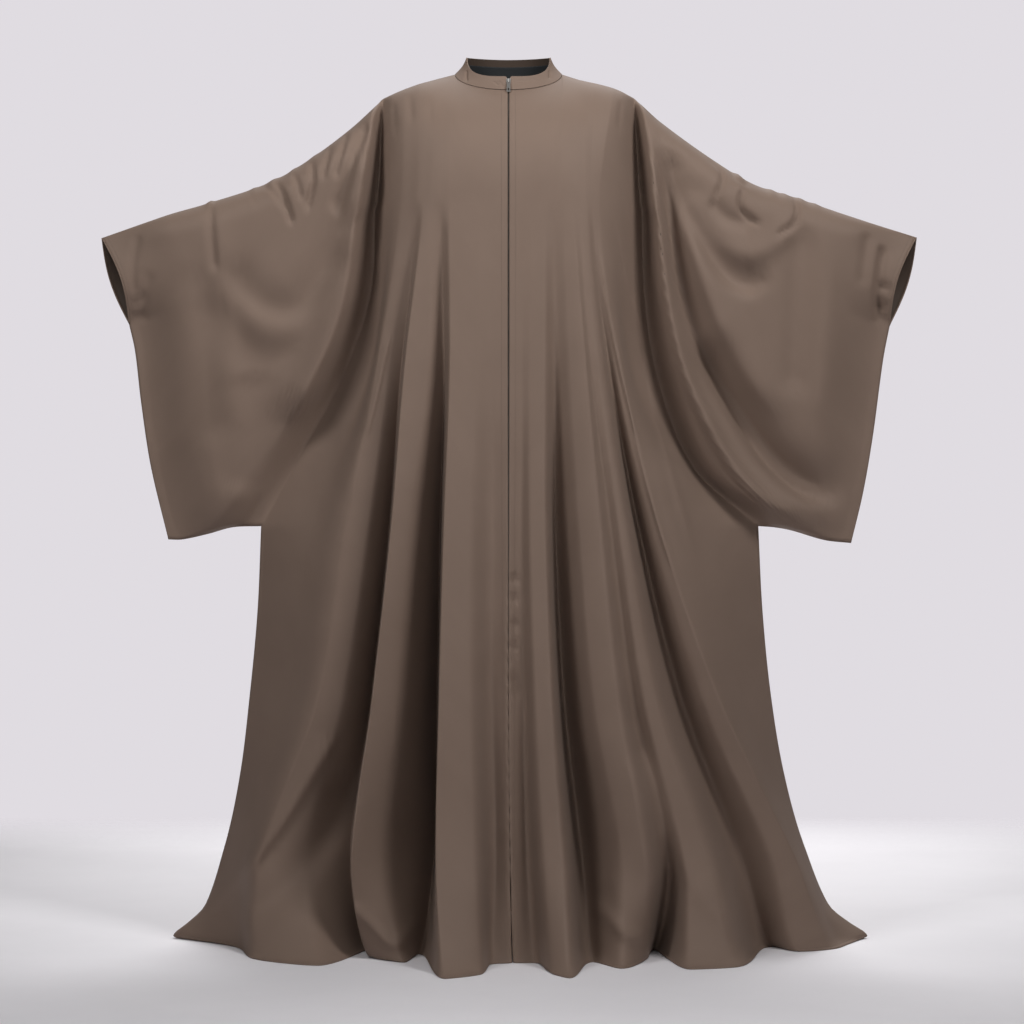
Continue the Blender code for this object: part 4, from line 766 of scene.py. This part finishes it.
def sleeve_block(side, face, crease_line):
    """Distance out, depth and height of the sleeve's points. Rows start at the overarm and columns at the
    crease beside the body. depth = (room + strokes) · quarter circles at the arm and the foot, blended to
    the crease."""
    steps = norms(np.diff(crease_line[:, ::2], axis=0))
    v = running(steps) / steps.sum()
    columns = SLEEVE_COLUMNS[face]
    u = (np.arange(columns + 1) / columns) ** SLEEVE_CROWDING
    overarm, foot, outer, in_cuff = sleeve_edges(side, face, crease_line, u, v)

    u, v = u[None, :, None], v[:, None, None]
    inner, outer_line = crease_line[:, None, ::2], outer[:, None]
    upper = (1 - u) * overarm[0] + u * overarm[-1]
    lower = (1 - u) * foot[0] + u * foot[-1]
    plan = (1 - u) * inner + u * outer_line + (1 - v) * (overarm[None] - upper) + v * (foot[None] - lower)
    out, height = plan[..., 0], plan[..., 1]

    sizes = np.array(ARM_ROOM) * CM
    room = np.interp(out, sizes[:, 0], sizes[:, 1])
    drop = np.maximum(overarm_height(side, out) - height, 0.0)
    lift = np.maximum(height - outline(SLEEVE_FOOT[side], out), 0.0)
    over = np.sqrt(1.0 - (1.0 - np.clip(drop / room, 0.0, 1.0)) ** 2)
    under = np.sqrt(1.0 - (1.0 - np.clip(lift / FOOT_ROUNDING, 0.0, 1.0)) ** 2)
    slack = 1.0 - ARM_SLACK * smooth_step((drop - room) / (drop + lift + room))
    from_edge = smooth_step((outer[:, :1] - out) / EDGE_ROUNDING)
    ajar = CUFF_OPEN * np.sin(np.pi * in_cuff)[:, None] * (1.0 - from_edge)
    strokes = stroke_rise(out, height, SLEEVE_STROKES[side, face])
    deep = (room * slack + strokes) * over * under * from_edge + ajar
    in_from_edge = smooth_step((outer[:, :1] - out) / CUFF_FADE)
    deep += stroke_rise(out, height, CUFF_STROKES[side, face]) * in_from_edge
    at_shoulder, at_underarm = CREASE_RISE[side]
    rise = at_shoulder + (at_underarm - at_shoulder) * v[:, :, 0]
    near = smooth_step((out - crease_line[:, :1]) / rise)
    deep = crease_line[:, 1:2] + (deep - crease_line[:, 1:2]) * near
    sewn = in_cuff >= 1.0
    sewn[0] = True
    return np.stack([out, deep, height], axis=-1), sewn


# %% [markdown]
# Front and back meet in a plane at the shoulder, underarm and side seams. Points near it are held back, so
# that the cloth's thickness fits on either side: less where the cloth stands square to the plane. The two
# backs meet edge to edge.

# %% Half a panel
SEAM_LEAST = 0.25


def vertex_normals(points):
    """Unit normals of a grid of points: the cross product of its two central differences."""
    return unit(np.cross(np.gradient(points, axis=0), np.gradient(points, axis=1)))


def normals_out(points, outward):
    """Unit normals of a grid of points, turned the way of `outward`."""
    normals = vertex_normals(points)
    return normals * np.sign((normals * outward).sum())


def leave_seam(points, seam):
    """Keep the cloth half a seam gap clear of the plane between front and back."""
    lean = np.abs(vertex_normals(points)[..., 1])
    closest = SEAM_GAP / 2 + CLOTH * np.minimum(lean + SEAM_LEAST, 1.0)
    points[..., 1] = np.where(seam, closest, np.maximum(points[..., 1], SEAM_GAP / 2 + CLOTH))


def half_panel(side, face):
    """The body and sleeve grids of one half of a panel, and the sleeve's rows that end at the cuff, in the
    garment's own coordinates."""
    body, corner_column = body_block(side, face)
    underarm = YOKE_ROWS + BODICE_ROWS
    sleeve, sewn_edge = sleeve_block(side, face, body[: underarm + 1, -1])
    body_seam = np.zeros(body.shape[:2], bool)
    body_seam[0, corner_column:] = True
    body_seam[underarm:, -1] = True
    sleeve_seam = np.zeros(sleeve.shape[:2], bool)
    sleeve_seam[[0, -1]] = True
    sleeve_seam[:, -1] = sewn_edge
    leave_seam(body, body_seam)
    leave_seam(sleeve, sleeve_seam)
    if face == "back":
        body[:, 0, 0] = SHORTEST
    sleeve[:, 0] = body[: underarm + 1, -1]
    turn = np.array([1.0 if side == "right" else -1.0, -1.0 if face == "front" else 1.0, 1.0])
    body, sleeve = (grid * turn - [0.0, 0.0, HELD_HEIGHT] for grid in (body, sleeve))
    return body, sleeve, sleeve[: int((~sewn_edge).sum()) + 2]


# %% [markdown]
# Grids become one mesh. Points that two grids share are welded, so the cloth is whole across the crease
# between body and sleeve. The map runs along the cloth: across it by the width of a section, and down it by
# the length of a column, both in metres.


# %% Meshes of cloth
WELD = 0.001 * MM


def cloth_map(grid):
    """Map coordinates of a grid: the length along each row and each column, by sums of the steps."""
    across, down = norms(np.diff(grid, axis=1)), norms(np.diff(grid, axis=0))
    u = np.concatenate([np.zeros((grid.shape[0], 1)), np.cumsum(across, axis=1)], axis=1)
    v = np.concatenate([np.zeros((1, grid.shape[1])), np.cumsum(down, axis=0)])
    return np.stack([u, v], axis=-1)


def add_grids(name, grids, outward, material):
    """One object of several grids, welded where they meet, with its faces pointing the way of `outward`."""
    points, faces, maps, first = [], [], [], 0
    for grid in grids:
        rows, columns = grid.shape[:2]
        numbers = first + np.arange(rows * columns).reshape(rows, columns)
        quads = np.stack([numbers[:-1, :-1], numbers[1:, :-1], numbers[1:, 1:], numbers[:-1, 1:]], axis=-1)
        faces_out = (vertex_normals(grid) * outward).sum() > 0
        faces.append(quads.reshape(-1, 4) if faces_out else quads.reshape(-1, 4)[:, ::-1])
        points.append(grid.reshape(-1, 3))
        maps.append(cloth_map(grid).reshape(-1, 2))
        first += rows * columns
    points, faces, maps = np.concatenate(points), np.concatenate(faces), np.concatenate(maps)
    _, kept, number = np.unique(np.round(points / WELD), axis=0, return_index=True, return_inverse=True)
    mesh = bpy.data.meshes.new(name)
    mesh.from_pydata(points[kept].tolist(), [], number.reshape(-1)[faces].tolist())
    layer = mesh.uv_layers.new(name="cloth")
    layer.data.foreach_set("uv", maps[faces.reshape(-1)].astype(np.float32).ravel())
    mesh.shade_smooth()
    mesh.materials.append(material)
    return linked(name, mesh)


def thicken(obj, wall, inner_shade=None):
    """A wall of this thickness inside the cloth's face, with an optional material of painted shade, a
    darker crepe, on its inner side.
    """
    solid = obj.modifiers.new("wall", "SOLIDIFY")
    solid.thickness = wall
    solid.offset = -1.0
    if inner_shade:
        obj.data.materials.append(inner_shade)
        solid.material_offset = 1
    return obj


# %% [markdown]
# Everything that is sewn starts from a line on the cloth. `line_on` finds, in each row of a grid, the point
# at a given distance from the row's first column, so a stitch line keeps its distance from an edge however
# the cloth folds. `add_small` then sets one small shape many times along such lines: a stitch, or a tooth
# of the zip.


# %% Lines on the cloth
def line_on(grid, outward, reach):
    """For each row, the point this far along it from its first column, and the unit normal there."""
    steps = norms(np.diff(grid, axis=1))
    length = np.concatenate([np.zeros((len(grid), 1)), np.cumsum(steps, axis=1)], axis=1)
    rows = np.arange(len(grid))
    before = np.clip((length <= reach).sum(axis=1) - 1, 0, grid.shape[1] - 2)
    share = ((reach - length[rows, before]) / np.maximum(steps[rows, before], TINY))[:, None]
    normals = normals_out(grid, outward)
    point = grid[rows, before] * (1 - share) + grid[rows, before + 1] * share
    normal = normals[rows, before] * (1 - share) + normals[rows, before + 1] * share
    return point, unit(normal)


def evenly(line, pitch):
    """Points, normals and directions at every `pitch` along a line."""
    points, normals = line
    length = running(norms(np.diff(points, axis=0)))
    places = np.arange(pitch / 2, length[-1], pitch)
    ways = np.gradient(points, axis=0)
    found = [np.stack([np.interp(places, length, item[:, axis]) for axis in range(3)], axis=-1)
             for item in (points, normals, ways)]
    return found[0], found[1], unit(found[2])


# A spindle has a point at either end, and a square stands across it on either side of its middle.
SQUARE = ((0.5, 0), (0, 0.5), (-0.5, 0), (0, -0.5))
SQUARES_AT = (-0.3, 0.3)
SPINDLE = np.array([(-0.5, 0, 0)] + [(x, y, z) for x in SQUARES_AT for y, z in SQUARE] + [(0.5, 0, 0)])
SPINDLE_ENDS = [(0, 1 + (k + 1) % 4, 1 + k) for k in range(4)]
SPINDLE_ENDS += [(9, 5 + k, 5 + (k + 1) % 4) for k in range(4)]
SPINDLE_SIDES = [(1 + k, 1 + (k + 1) % 4, 5 + (k + 1) % 4, 5 + k) for k in range(4)]


def add_small(name, centres, ways, normals, sizes, material):
    """One object of many spindles: point = centre + x · length · way + y · width · side + z · height ·
    normal."""
    sides = unit(np.cross(normals, ways))
    axes = np.stack([ways, sides, normals], axis=1) * np.array(sizes)[:, None]
    points = centres[:, None] + np.einsum("pa,kad->kpd", SPINDLE, axes)
    firsts = (np.arange(len(centres)) * len(SPINDLE))[:, None, None]
    faces = (np.array(SPINDLE_ENDS) + firsts).reshape(-1, 3).tolist()
    faces += (np.array(SPINDLE_SIDES) + firsts).reshape(-1, 4).tolist()
    mesh = bpy.data.meshes.new(name)
    mesh.from_pydata(points.reshape(-1, 3).tolist(), [], faces)
    mesh.shade_smooth()
    mesh.materials.append(material)
    obj = linked(name, mesh)
    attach(obj, "garment")
    return obj


STITCH_PITCH = 4.0 * MM
STITCH = (3.1 * MM, 0.55 * MM, 0.6 * MM)


def add_stitches(name, lines):
    """Rows of thread along lines on the cloth, each stitch lying half sunk in it."""
    found = [evenly(line, STITCH_PITCH) for line in lines]
    points, normals, ways = (np.concatenate([row[item] for row in found]) for item in range(3))
    stitches = add_small(name, points, ways, normals, STITCH, thread)
    return stitches


ROLL_SIDES = 12
ROLL_SET_IN = 0.5


def add_roll(name, grid, outward, radius, material):
    """The turned edge along a grid's first column: a round roll with closed ends, centred just inside the
    edge."""
    normals = normals_out(grid, outward)[:, 0]
    inward = unit(grid[:, 1] - grid[:, 0])
    turn = np.linspace(0.0, 2 * math.pi, ROLL_SIDES + 1)[None, :, None]
    ring = np.cos(turn) * normals[:, None] - np.sin(turn) * inward[:, None]
    centre = grid[:, 0] + inward * radius * ROLL_SET_IN - normals * CLOTH / 2
    roll = add_grids(name, [centre[:, None] + radius * ring], ring, material)
    shell = bmesh.new()
    shell.from_mesh(roll.data)
    bmesh.ops.holes_fill(shell, edges=shell.edges[:], sides=ROLL_SIDES)
    shell.to_mesh(roll.data)
    shell.free()
    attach(roll, "garment")
    return roll


# %% [markdown]
# The other finishes are two small recipes: a weave for the facing and the zip's tapes, and a plain grain
# for thread and metal. A wave texture makes 20 / 2π bands for each unit of its scale.

# %% Other finishes
WAVE_BANDS = 20.0 / (2 * math.pi)
YARN_SHADE, YARN_GRAINS = 0.72, 1400.0
WARP_SHARE, WEFT_SHARE, FUZZ_SHARE = 0.45, 0.35, 0.2
GRAIN_SHADE, GRAINS, GRAIN_HEIGHT = 0.85, 900.0, 0.1 * MM
OBJECT_COORDINATES = 3


def darker(colour, share):
    """This share of a colour."""
    return tuple(value * share for value in colour[:3]) + (1.0,)


def yarn(name, colour, roughness, pitch):
    """A woven finish on the piece's own map: ribs both ways, of this pitch in metres, and a fine grain."""
    tree = Tree(name)
    place = tree.node("ShaderNodeUVMap", {"uv_map": "cloth"})
    bands = {"Vector": place, "Scale": 1.0 / (pitch * WAVE_BANDS), "Distortion": 0.6}
    warp, weft = (tree.node("ShaderNodeTexWave", {"bands_direction": way}, bands) for way in ("X", "Y"))
    fuzz = tree.noise(place, YARN_GRAINS, 2.0)
    weave = warp * WARP_SHARE + weft * WEFT_SHARE + fuzz * FUZZ_SHARE
    normal = tree.bump(weave, pitch / 4, 0.7)
    colour = tree.blend(weave, darker(colour, YARN_SHADE), colour)
    return tree.finish(colour, roughness, normal, sheen=0.04, specular=0.3)


def plain(name, colour, roughness, metallic=0.0):
    """A finish with a fine grain over Object coordinates."""
    tree = Tree(name)
    grain = tree.noise(tree.node("ShaderNodeTexCoord", output=OBJECT_COORDINATES), GRAINS, 2.0)
    normal = tree.bump(grain, GRAIN_HEIGHT, 0.5)
    return tree.finish(tree.blend(grain, darker(colour, GRAIN_SHADE), colour), roughness, normal, metallic)


thread = plain("taupe thread", (0.165, 0.118, 0.092, 1.0), 0.6)

# %% [markdown]
# Each panel gets its wall, its turned hem with one row of stitches, and the same at the cuff. The fronts
# also have a turned edge beside the zip, with a row of stitches one centimetre from it. Laid flat, each
# panel holds as much cloth as a rectangle of 0.81 by 1.42 m.

# %% Fronts and backs with their hems
HEM_ROLL, CUFF_ROLL, EDGE_ROLL = 1.3 * MM, 1.2 * MM, 0.75 * MM
HEM_TURN = 7 * MM
CUFF_TURN = 9 * MM
PLACKET_TURN = 9.5 * MM
halves = {key: half_panel(*key) for key in HALVES}
for (side, face), (body, sleeve, cuff) in halves.items():
    toward = [0, -1, 0] if face == "front" else [0, 1, 0]
    panel = add_grids(f"cloth_{face}_{side}", [body, sleeve], toward, cloth_finish)
    # The panel's inner side is the darker crepe, painted shade.
    thicken(panel, CLOTH, inside_painted_shade)
    hem = body[::-1].transpose(1, 0, 2)
    wrist = cuff[:, ::-1]
    sewn_on = [
        add_roll(f"hem_roll_{face}_{side}", hem, toward, HEM_ROLL, cloth_finish),
        add_roll(f"cuff_roll_{face}_{side}", wrist, toward, CUFF_ROLL, cloth_finish),
    ]
    lines = [line_on(hem, toward, HEM_TURN), line_on(wrist, toward, CUFF_TURN)]
    if face == "front":
        sewn_on.append(add_roll(f"edge_roll_{side}", body, toward, EDGE_ROLL, cloth_finish))
        lines.append(line_on(body, toward, PLACKET_TURN))
    sewn_on.append(add_stitches(f"stitches_{face}_{side}", lines))
    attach(panel, "garment")
    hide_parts(f"{face}_{side}")
    print(panel.name, len(panel.data.polygons), "faces, with", [piece.name for piece in sewn_on])

# %% [markdown]
# The stand collar is a ruled band between two edges, each a half-ellipse in front and another behind, that
# lie lower in front than at the sides, and hollow where it leans in over the shoulders. Its front corners
# are rounded away to a V over the zip. Two darts at the sides and a few puckers beside the zip are strokes,
# laid along the band.

# %% The collar
COLLAR_WALL = 2.4 * MM
COLLAR_RIM = 0.8 * MM
RIM_STEPS, RIM_ANGLE = 3, math.radians(50)
NECK_HEIGHTS = (NECK_FRONT_HEIGHT, NECK_SIDE_HEIGHT, NECK_BACK_HEIGHT)
COLLAR_TOPS = (141.3 * CM, 145.3 * CM, 145.8 * CM)
BandEdge = namedtuple("BandEdge", "half_width front back heights lift power")
COLLAR_EDGES = (
    BandEdge(NECK_HALF_WIDTH, NECK_FRONT, NECK_BACK, NECK_HEIGHTS, 0.9 * MM, 1.0),
    BandEdge(6.95 * CM, 5.8 * CM, 5.5 * CM, COLLAR_TOPS, 0.0, 1.5),
)
COLLAR_HOLLOW = 0.3 * CM
COLLAR_CORNER = 0.62 * CM
COLLAR_END = 1.8 * MM
COLLAR_FRONT_HEIGHT = 2.4 * CM
COLLAR_FOOT_RADIUS, COLLAR_MEAN_RADIUS, COLLAR_MEAN_HEIGHT = 8.6 * CM, 8 * CM, 3.2 * CM
COLLAR_ROWS, COLLAR_COLUMNS = 25, 261
COLLAR_STROKES = (
    ("left dart", ((-9.9, 2.3), (-8.8, 1.35), (-7.5, 0.3)), 0.28, 0.36, -0.3),
    ("right dart", ((9.5, 2.5), (8.8, 1.85), (7.9, 1)), 0.22, 0.3, -0.24),
    ("zip pucker one", ((-2.7, 1.9), (-2.1, 1.4), (-1.5, 0.9)), 0.16, 0.24, -0.12),
    ("zip pucker two", ((-1.7, 2.1), (-1.3, 1.4), (-0.8, 0.6)), 0.16, 0.24, -0.12),
    ("soft crease", ((1.2, 1.5), (3, 1.8), (5.4, 2)), 0.3, 0.45, -0.08),
)


def collar_face(angle, share):
    """Points of the collar's outer face, by angle from the centre front and share of the way from foot to
    top: foot + (top - foot) · share, less the hollow at the sides, plus the strokes."""
    angle, share = np.broadcast_arrays(angle, share)
    cosine, sine = np.cos(angle), np.sin(angle)
    to_side = 1.0 - np.abs(cosine)
    rings = []
    for edge in COLLAR_EDGES:
        middle = np.where(cosine > 0, edge.heights[0], edge.heights[2])
        height = middle + (edge.heights[1] - middle) * to_side**edge.power + edge.lift - HELD_HEIGHT
        depth = np.where(cosine > 0, edge.front, edge.back)
        rings.append(np.stack([edge.half_width * sine, -depth * cosine, height], axis=-1))
    foot, top = rings
    around = np.where(angle > math.pi, angle - 2 * math.pi, angle) * COLLAR_MEAN_RADIUS
    swell = stroke_rise(around, share * COLLAR_MEAN_HEIGHT, COLLAR_STROKES)
    swell = swell - COLLAR_HOLLOW * np.sin(np.pi * share) * to_side
    outward = np.stack([sine, -cosine, np.zeros_like(sine)], axis=-1)
    return foot + (top - foot) * share[..., None] + swell[..., None] * outward


def radial(points):
    """For each point, the level direction away from the neck's axis."""
    return points * [1.0, 1.0, 0.0]


def rounded_rim(obj, width):
    """Round the sharp rims of a wall."""
    bevel = obj.modifiers.new("rim", "BEVEL")
    bevel.width, bevel.segments = width, RIM_STEPS
    bevel.limit_method, bevel.angle_limit = "ANGLE", RIM_ANGLE


collar_end = math.asin(COLLAR_END / NECK_HALF_WIDTH)
around = collar_end + (2 * math.pi - 2 * collar_end) * np.linspace(0.0, 1.0, COLLAR_COLUMNS)
from_end = (math.pi - np.abs(around - math.pi) - collar_end) * COLLAR_FOOT_RADIUS
inside_corner = np.clip(COLLAR_CORNER - from_end, 0.0, COLLAR_CORNER)
corner_cut = COLLAR_CORNER - np.sqrt(COLLAR_CORNER**2 - inside_corner**2)
collar_top = 1.0 - corner_cut / COLLAR_FRONT_HEIGHT
collar_grid = collar_face(around[None], np.linspace(0.0, 1.0, COLLAR_ROWS)[:, None] * collar_top)
collar = add_grids("stand_collar", [collar_grid], radial(collar_grid), cloth_finish)
# The collar's inner side is the darker crepe, painted shade too.
rounded_rim(thicken(collar, COLLAR_WALL, inside_painted_shade), COLLAR_RIM)
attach(collar, "garment")
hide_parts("collar")
print("collar:", collar_grid.shape)

# %% [markdown]
# Inside the collar lies the dark facing. It stops more than a centimetre under the top edge, where the
# brown cloth is turned over to the inside, and a hair's breadth clear of the collar's wall.

# %% The facing
FACING_DROP = 1.2 * CM
FACING_FOOT = 0.03
FACING_END = math.radians(10)
FACING_ROWS, FACING_COLUMNS = 14, 200
FACING_WALL = 0.9 * MM
LAYER_GAP = 0.5 * MM
facing_cloth = yarn("charcoal facing", (0.020, 0.022, 0.024, 1.0), 0.82, 0.7 * MM)
facing_around = np.linspace(FACING_END, 2 * math.pi - FACING_END, FACING_COLUMNS)
facing_height = norms(collar_face(facing_around, 1.0) - collar_face(facing_around, 0.0))
facing_top = 1.0 - FACING_FOOT - FACING_DROP / facing_height
facing_share = np.linspace(0.0, 1.0, FACING_ROWS)[:, None] * facing_top + FACING_FOOT
face_in_front = collar_face(facing_around[None], facing_share)
facing_grid = face_in_front - normals_out(face_in_front, radial(face_in_front)) * (COLLAR_WALL + LAYER_GAP)
facing = add_grids("facing_band", [facing_grid], radial(facing_grid), facing_cloth)
thicken(facing, FACING_WALL)
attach(facing, "garment")
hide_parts("collar_facing")
print("facing:", facing_grid.shape)

# %% [markdown]
# The zip: two woven tapes behind the edges of the collar and the fronts, and two rows of teeth that mesh
# along the middle, set half a step apart. Beside the slider the tapes keep clear of its post, and the teeth
# start under it. The slider and its pull keep their solids, in plated metal.

# %% The zip
TAPE_REACHES = (0.0, 4 * MM, 8 * MM, 12.5 * MM)
ZIP_FOOT = 46 * CM
SLIDER_HEIGHT = 140.35 * CM
POST_REACH = 10.4 * MM
POST_CLEARANCE = 1.2 * MM
TAPE_EDGE = 0.4 * MM
TAPE_WALL = 0.8 * MM
TEETH_DROP = 6 * MM
TOOTH_PITCH = 1.5 * MM
TOOTH = (2.2 * MM, 1.5 * MM, 1.2 * MM)
TOOTH_OUT, TOOTH_FORWARD = 0.15 * MM, 0.7 * MM
tape_cloth = yarn("zip tape weave", (0.075, 0.060, 0.050, 1.0), 0.85, 0.8 * MM)
metal = plain("zip metal", (0.74, 0.72, 0.69, 1.0), 0.34, 0.95)
dull = plain("zip teeth", (0.14, 0.115, 0.10, 1.0), 0.5, 0.8)
chain_lines = []
for side in ("left", "right"):
    across = 1.0 if side == "right" else -1.0
    seat = collar_grid[::-1] if side == "right" else collar_grid[::-1, ::-1]
    front = halves[side, "front"][0]
    rows = int((front[:, 0, 2] > ZIP_FOOT - HELD_HEIGHT).sum()) + 1
    columns = []
    for reach in TAPE_REACHES:
        in_collar, collar_normals = line_on(seat, radial(seat), reach)
        in_front, front_normals = line_on(front[1:rows], [0, -1, 0], reach)
        behind_collar = in_collar - collar_normals * (COLLAR_WALL + LAYER_GAP)
        behind_front = in_front - front_normals * (CLOTH + LAYER_GAP)
        columns.append(np.concatenate([behind_collar, behind_front]))
    tape_grid = np.stack(columns, axis=1)
    at_post = np.abs(tape_grid[:, 0, 2] + HELD_HEIGHT - SLIDER_HEIGHT) < POST_REACH
    near, far = tape_grid[:, 0], tape_grid[:, 1]
    edge = across * np.where(at_post, POST_CLEARANCE, TAPE_EDGE)[:, None]
    middle = near + (far - near) * (edge - near[:, :1]) / (far - near)[:, :1]
    tape_grid = np.concatenate([middle[:, None], tape_grid], axis=1)
    tape = thicken(add_grids(f"tape_{side}", [tape_grid], [0, -1, 0], tape_cloth), TAPE_WALL)
    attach(tape, "garment")
    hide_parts(f"zip_tape_{side}")
    chain_lines.append((side, across, middle[~at_post]))
for side, across, line in chain_lines:
    points = line[line[:, 2] < SLIDER_HEIGHT - HELD_HEIGHT - TEETH_DROP]
    front_normals = np.repeat([[0.0, -1.0, 0.0]], len(points), axis=0)
    centres, normals, ways = evenly((points, front_normals), 2 * TOOTH_PITCH)
    centres = centres + ways * TOOTH_PITCH * (across > 0) + [across * TOOTH_OUT, -TOOTH_FORWARD, 0.0]
    teeth = add_small(f"teeth_{side}", centres, np.cross(ways, normals), normals, TOOTH, dull)
    print(teeth.name, len(centres))


def paint(node, material):
    """Put one material on all of a CAD node's slots."""
    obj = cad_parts[node]
    obj.data.materials.clear()
    obj.data.materials.append(material)


paint("zip_slider", metal)
paint("zip_pull", metal)

# %% [markdown]
# The room: a pale floor that fades out behind the garment, and a pale backdrop that stands for white walls.
# The camera sees the backdrop bright, and the cloth gets little of it, so the folds stay deep. Two soft
# lights stand high in front of the garment, a stronger one on the right and a weaker one on the left, with
# a faint fill between them. Two more light the floor, one behind the hem and one before it.

# %% Floor, world and lights
FLOOR = -HELD_HEIGHT
FLOOR_REACH = 6.0
FLOOR_BACK = 1.85
FADE_START, FADE_END = 1.2, 1.8
FLOOR_LIT, FLOOR_DEEP = (0.88, 0.86, 0.89, 1.0), (0.78, 0.76, 0.79, 1.0)
FLOOR_CLOUDS = 3.0
FLOOR_ROUGHNESS, FLOOR_SPECULAR = 0.85, 0.2
BACKDROP = (0.745, 0.715, 0.755, 1.0)
BOUNCE = 0.045
LIGHTS = (
    # name, place, target, size, power in watts, spread in degrees
    ("right key", (1.7, -1.8, 1.6), (-0.2, 0.0, 0.0), 0.8, 12.6, 80.0),
    ("left key", (-1.7, -1.8, 1.5), (0.2, 0.0, 0.0), 0.8, 9.0, 80.0),
    ("front fill", (0.3, -3.2, 0.4), (0.0, 0.0, 0.0), 1.2, 2.6, 70.0),
    ("floor behind", (0.3, 2.4, 1.6), (0.2, 1.2, -1.4), 2.4, 36.0, 84.0),
    ("floor in front", (0.0, -1.8, 2.4), (0.0, -1.6, -1.4), 1.0, 6.2, 44.0),
)


def add_floor():
    """A flat floor, whose far edge fades into the backdrop."""
    corners = ((-FLOOR_REACH, -FLOOR_REACH), (FLOOR_REACH, -FLOOR_REACH),
               (FLOOR_REACH, FLOOR_BACK), (-FLOOR_REACH, FLOOR_BACK))
    mesh = bpy.data.meshes.new("floor")
    mesh.from_pydata([(x, y, FLOOR) for x, y in corners], [], [(0, 1, 2, 3)])
    tree = Tree("pale floor")
    place = tree.node("ShaderNodeTexCoord", output=OBJECT_COORDINATES)
    cloud = tree.noise(place, FLOOR_CLOUDS, 6.0, 0.6)
    tree.finish(tree.blend(cloud, FLOOR_DEEP, FLOOR_LIT), FLOOR_ROUGHNESS, specular=FLOOR_SPECULAR)
    far = tree.node("ShaderNodeSeparateXYZ", {}, [place], output=1)
    tree.plug(tree.shader.inputs["Alpha"], 1.0 - tree.spread(far, FADE_START, FADE_END))
    mesh.materials.append(tree.material)
    linked("floor", mesh)


def add_light(name, place, target, size, power, spread):
    """A square soft light that faces a target."""
    data = bpy.data.lights.new(name, "AREA")
    data.size, data.energy, data.spread = size, power, math.radians(spread)
    light = linked(name, data)
    light.visible_camera = False
    light.location = place
    way = np.array(target, float) - place
    light.rotation_euler = (math.acos(-way[2] / norms(way)), 0.0, math.atan2(-way[0], way[1]))


add_floor()
world = bpy.data.worlds.new("white room")
bpy.context.scene.world = world
world.use_nodes = True
nodes, links = world.node_tree.nodes, world.node_tree.links
background = nodes["Background"]
background.inputs["Color"].default_value = BACKDROP
seen = nodes.new("ShaderNodeLightPath")
strength = nodes.new("ShaderNodeMapRange")
links.new(seen.outputs["Is Camera Ray"], strength.inputs["Value"])
strength.inputs["To Min"].default_value = BOUNCE
strength.inputs["To Max"].default_value = 1.0
links.new(strength.outputs["Result"], background.inputs["Strength"])
for row in LIGHTS:
    add_light(*row)
bpy.context.scene.view_settings.view_transform = "Standard"
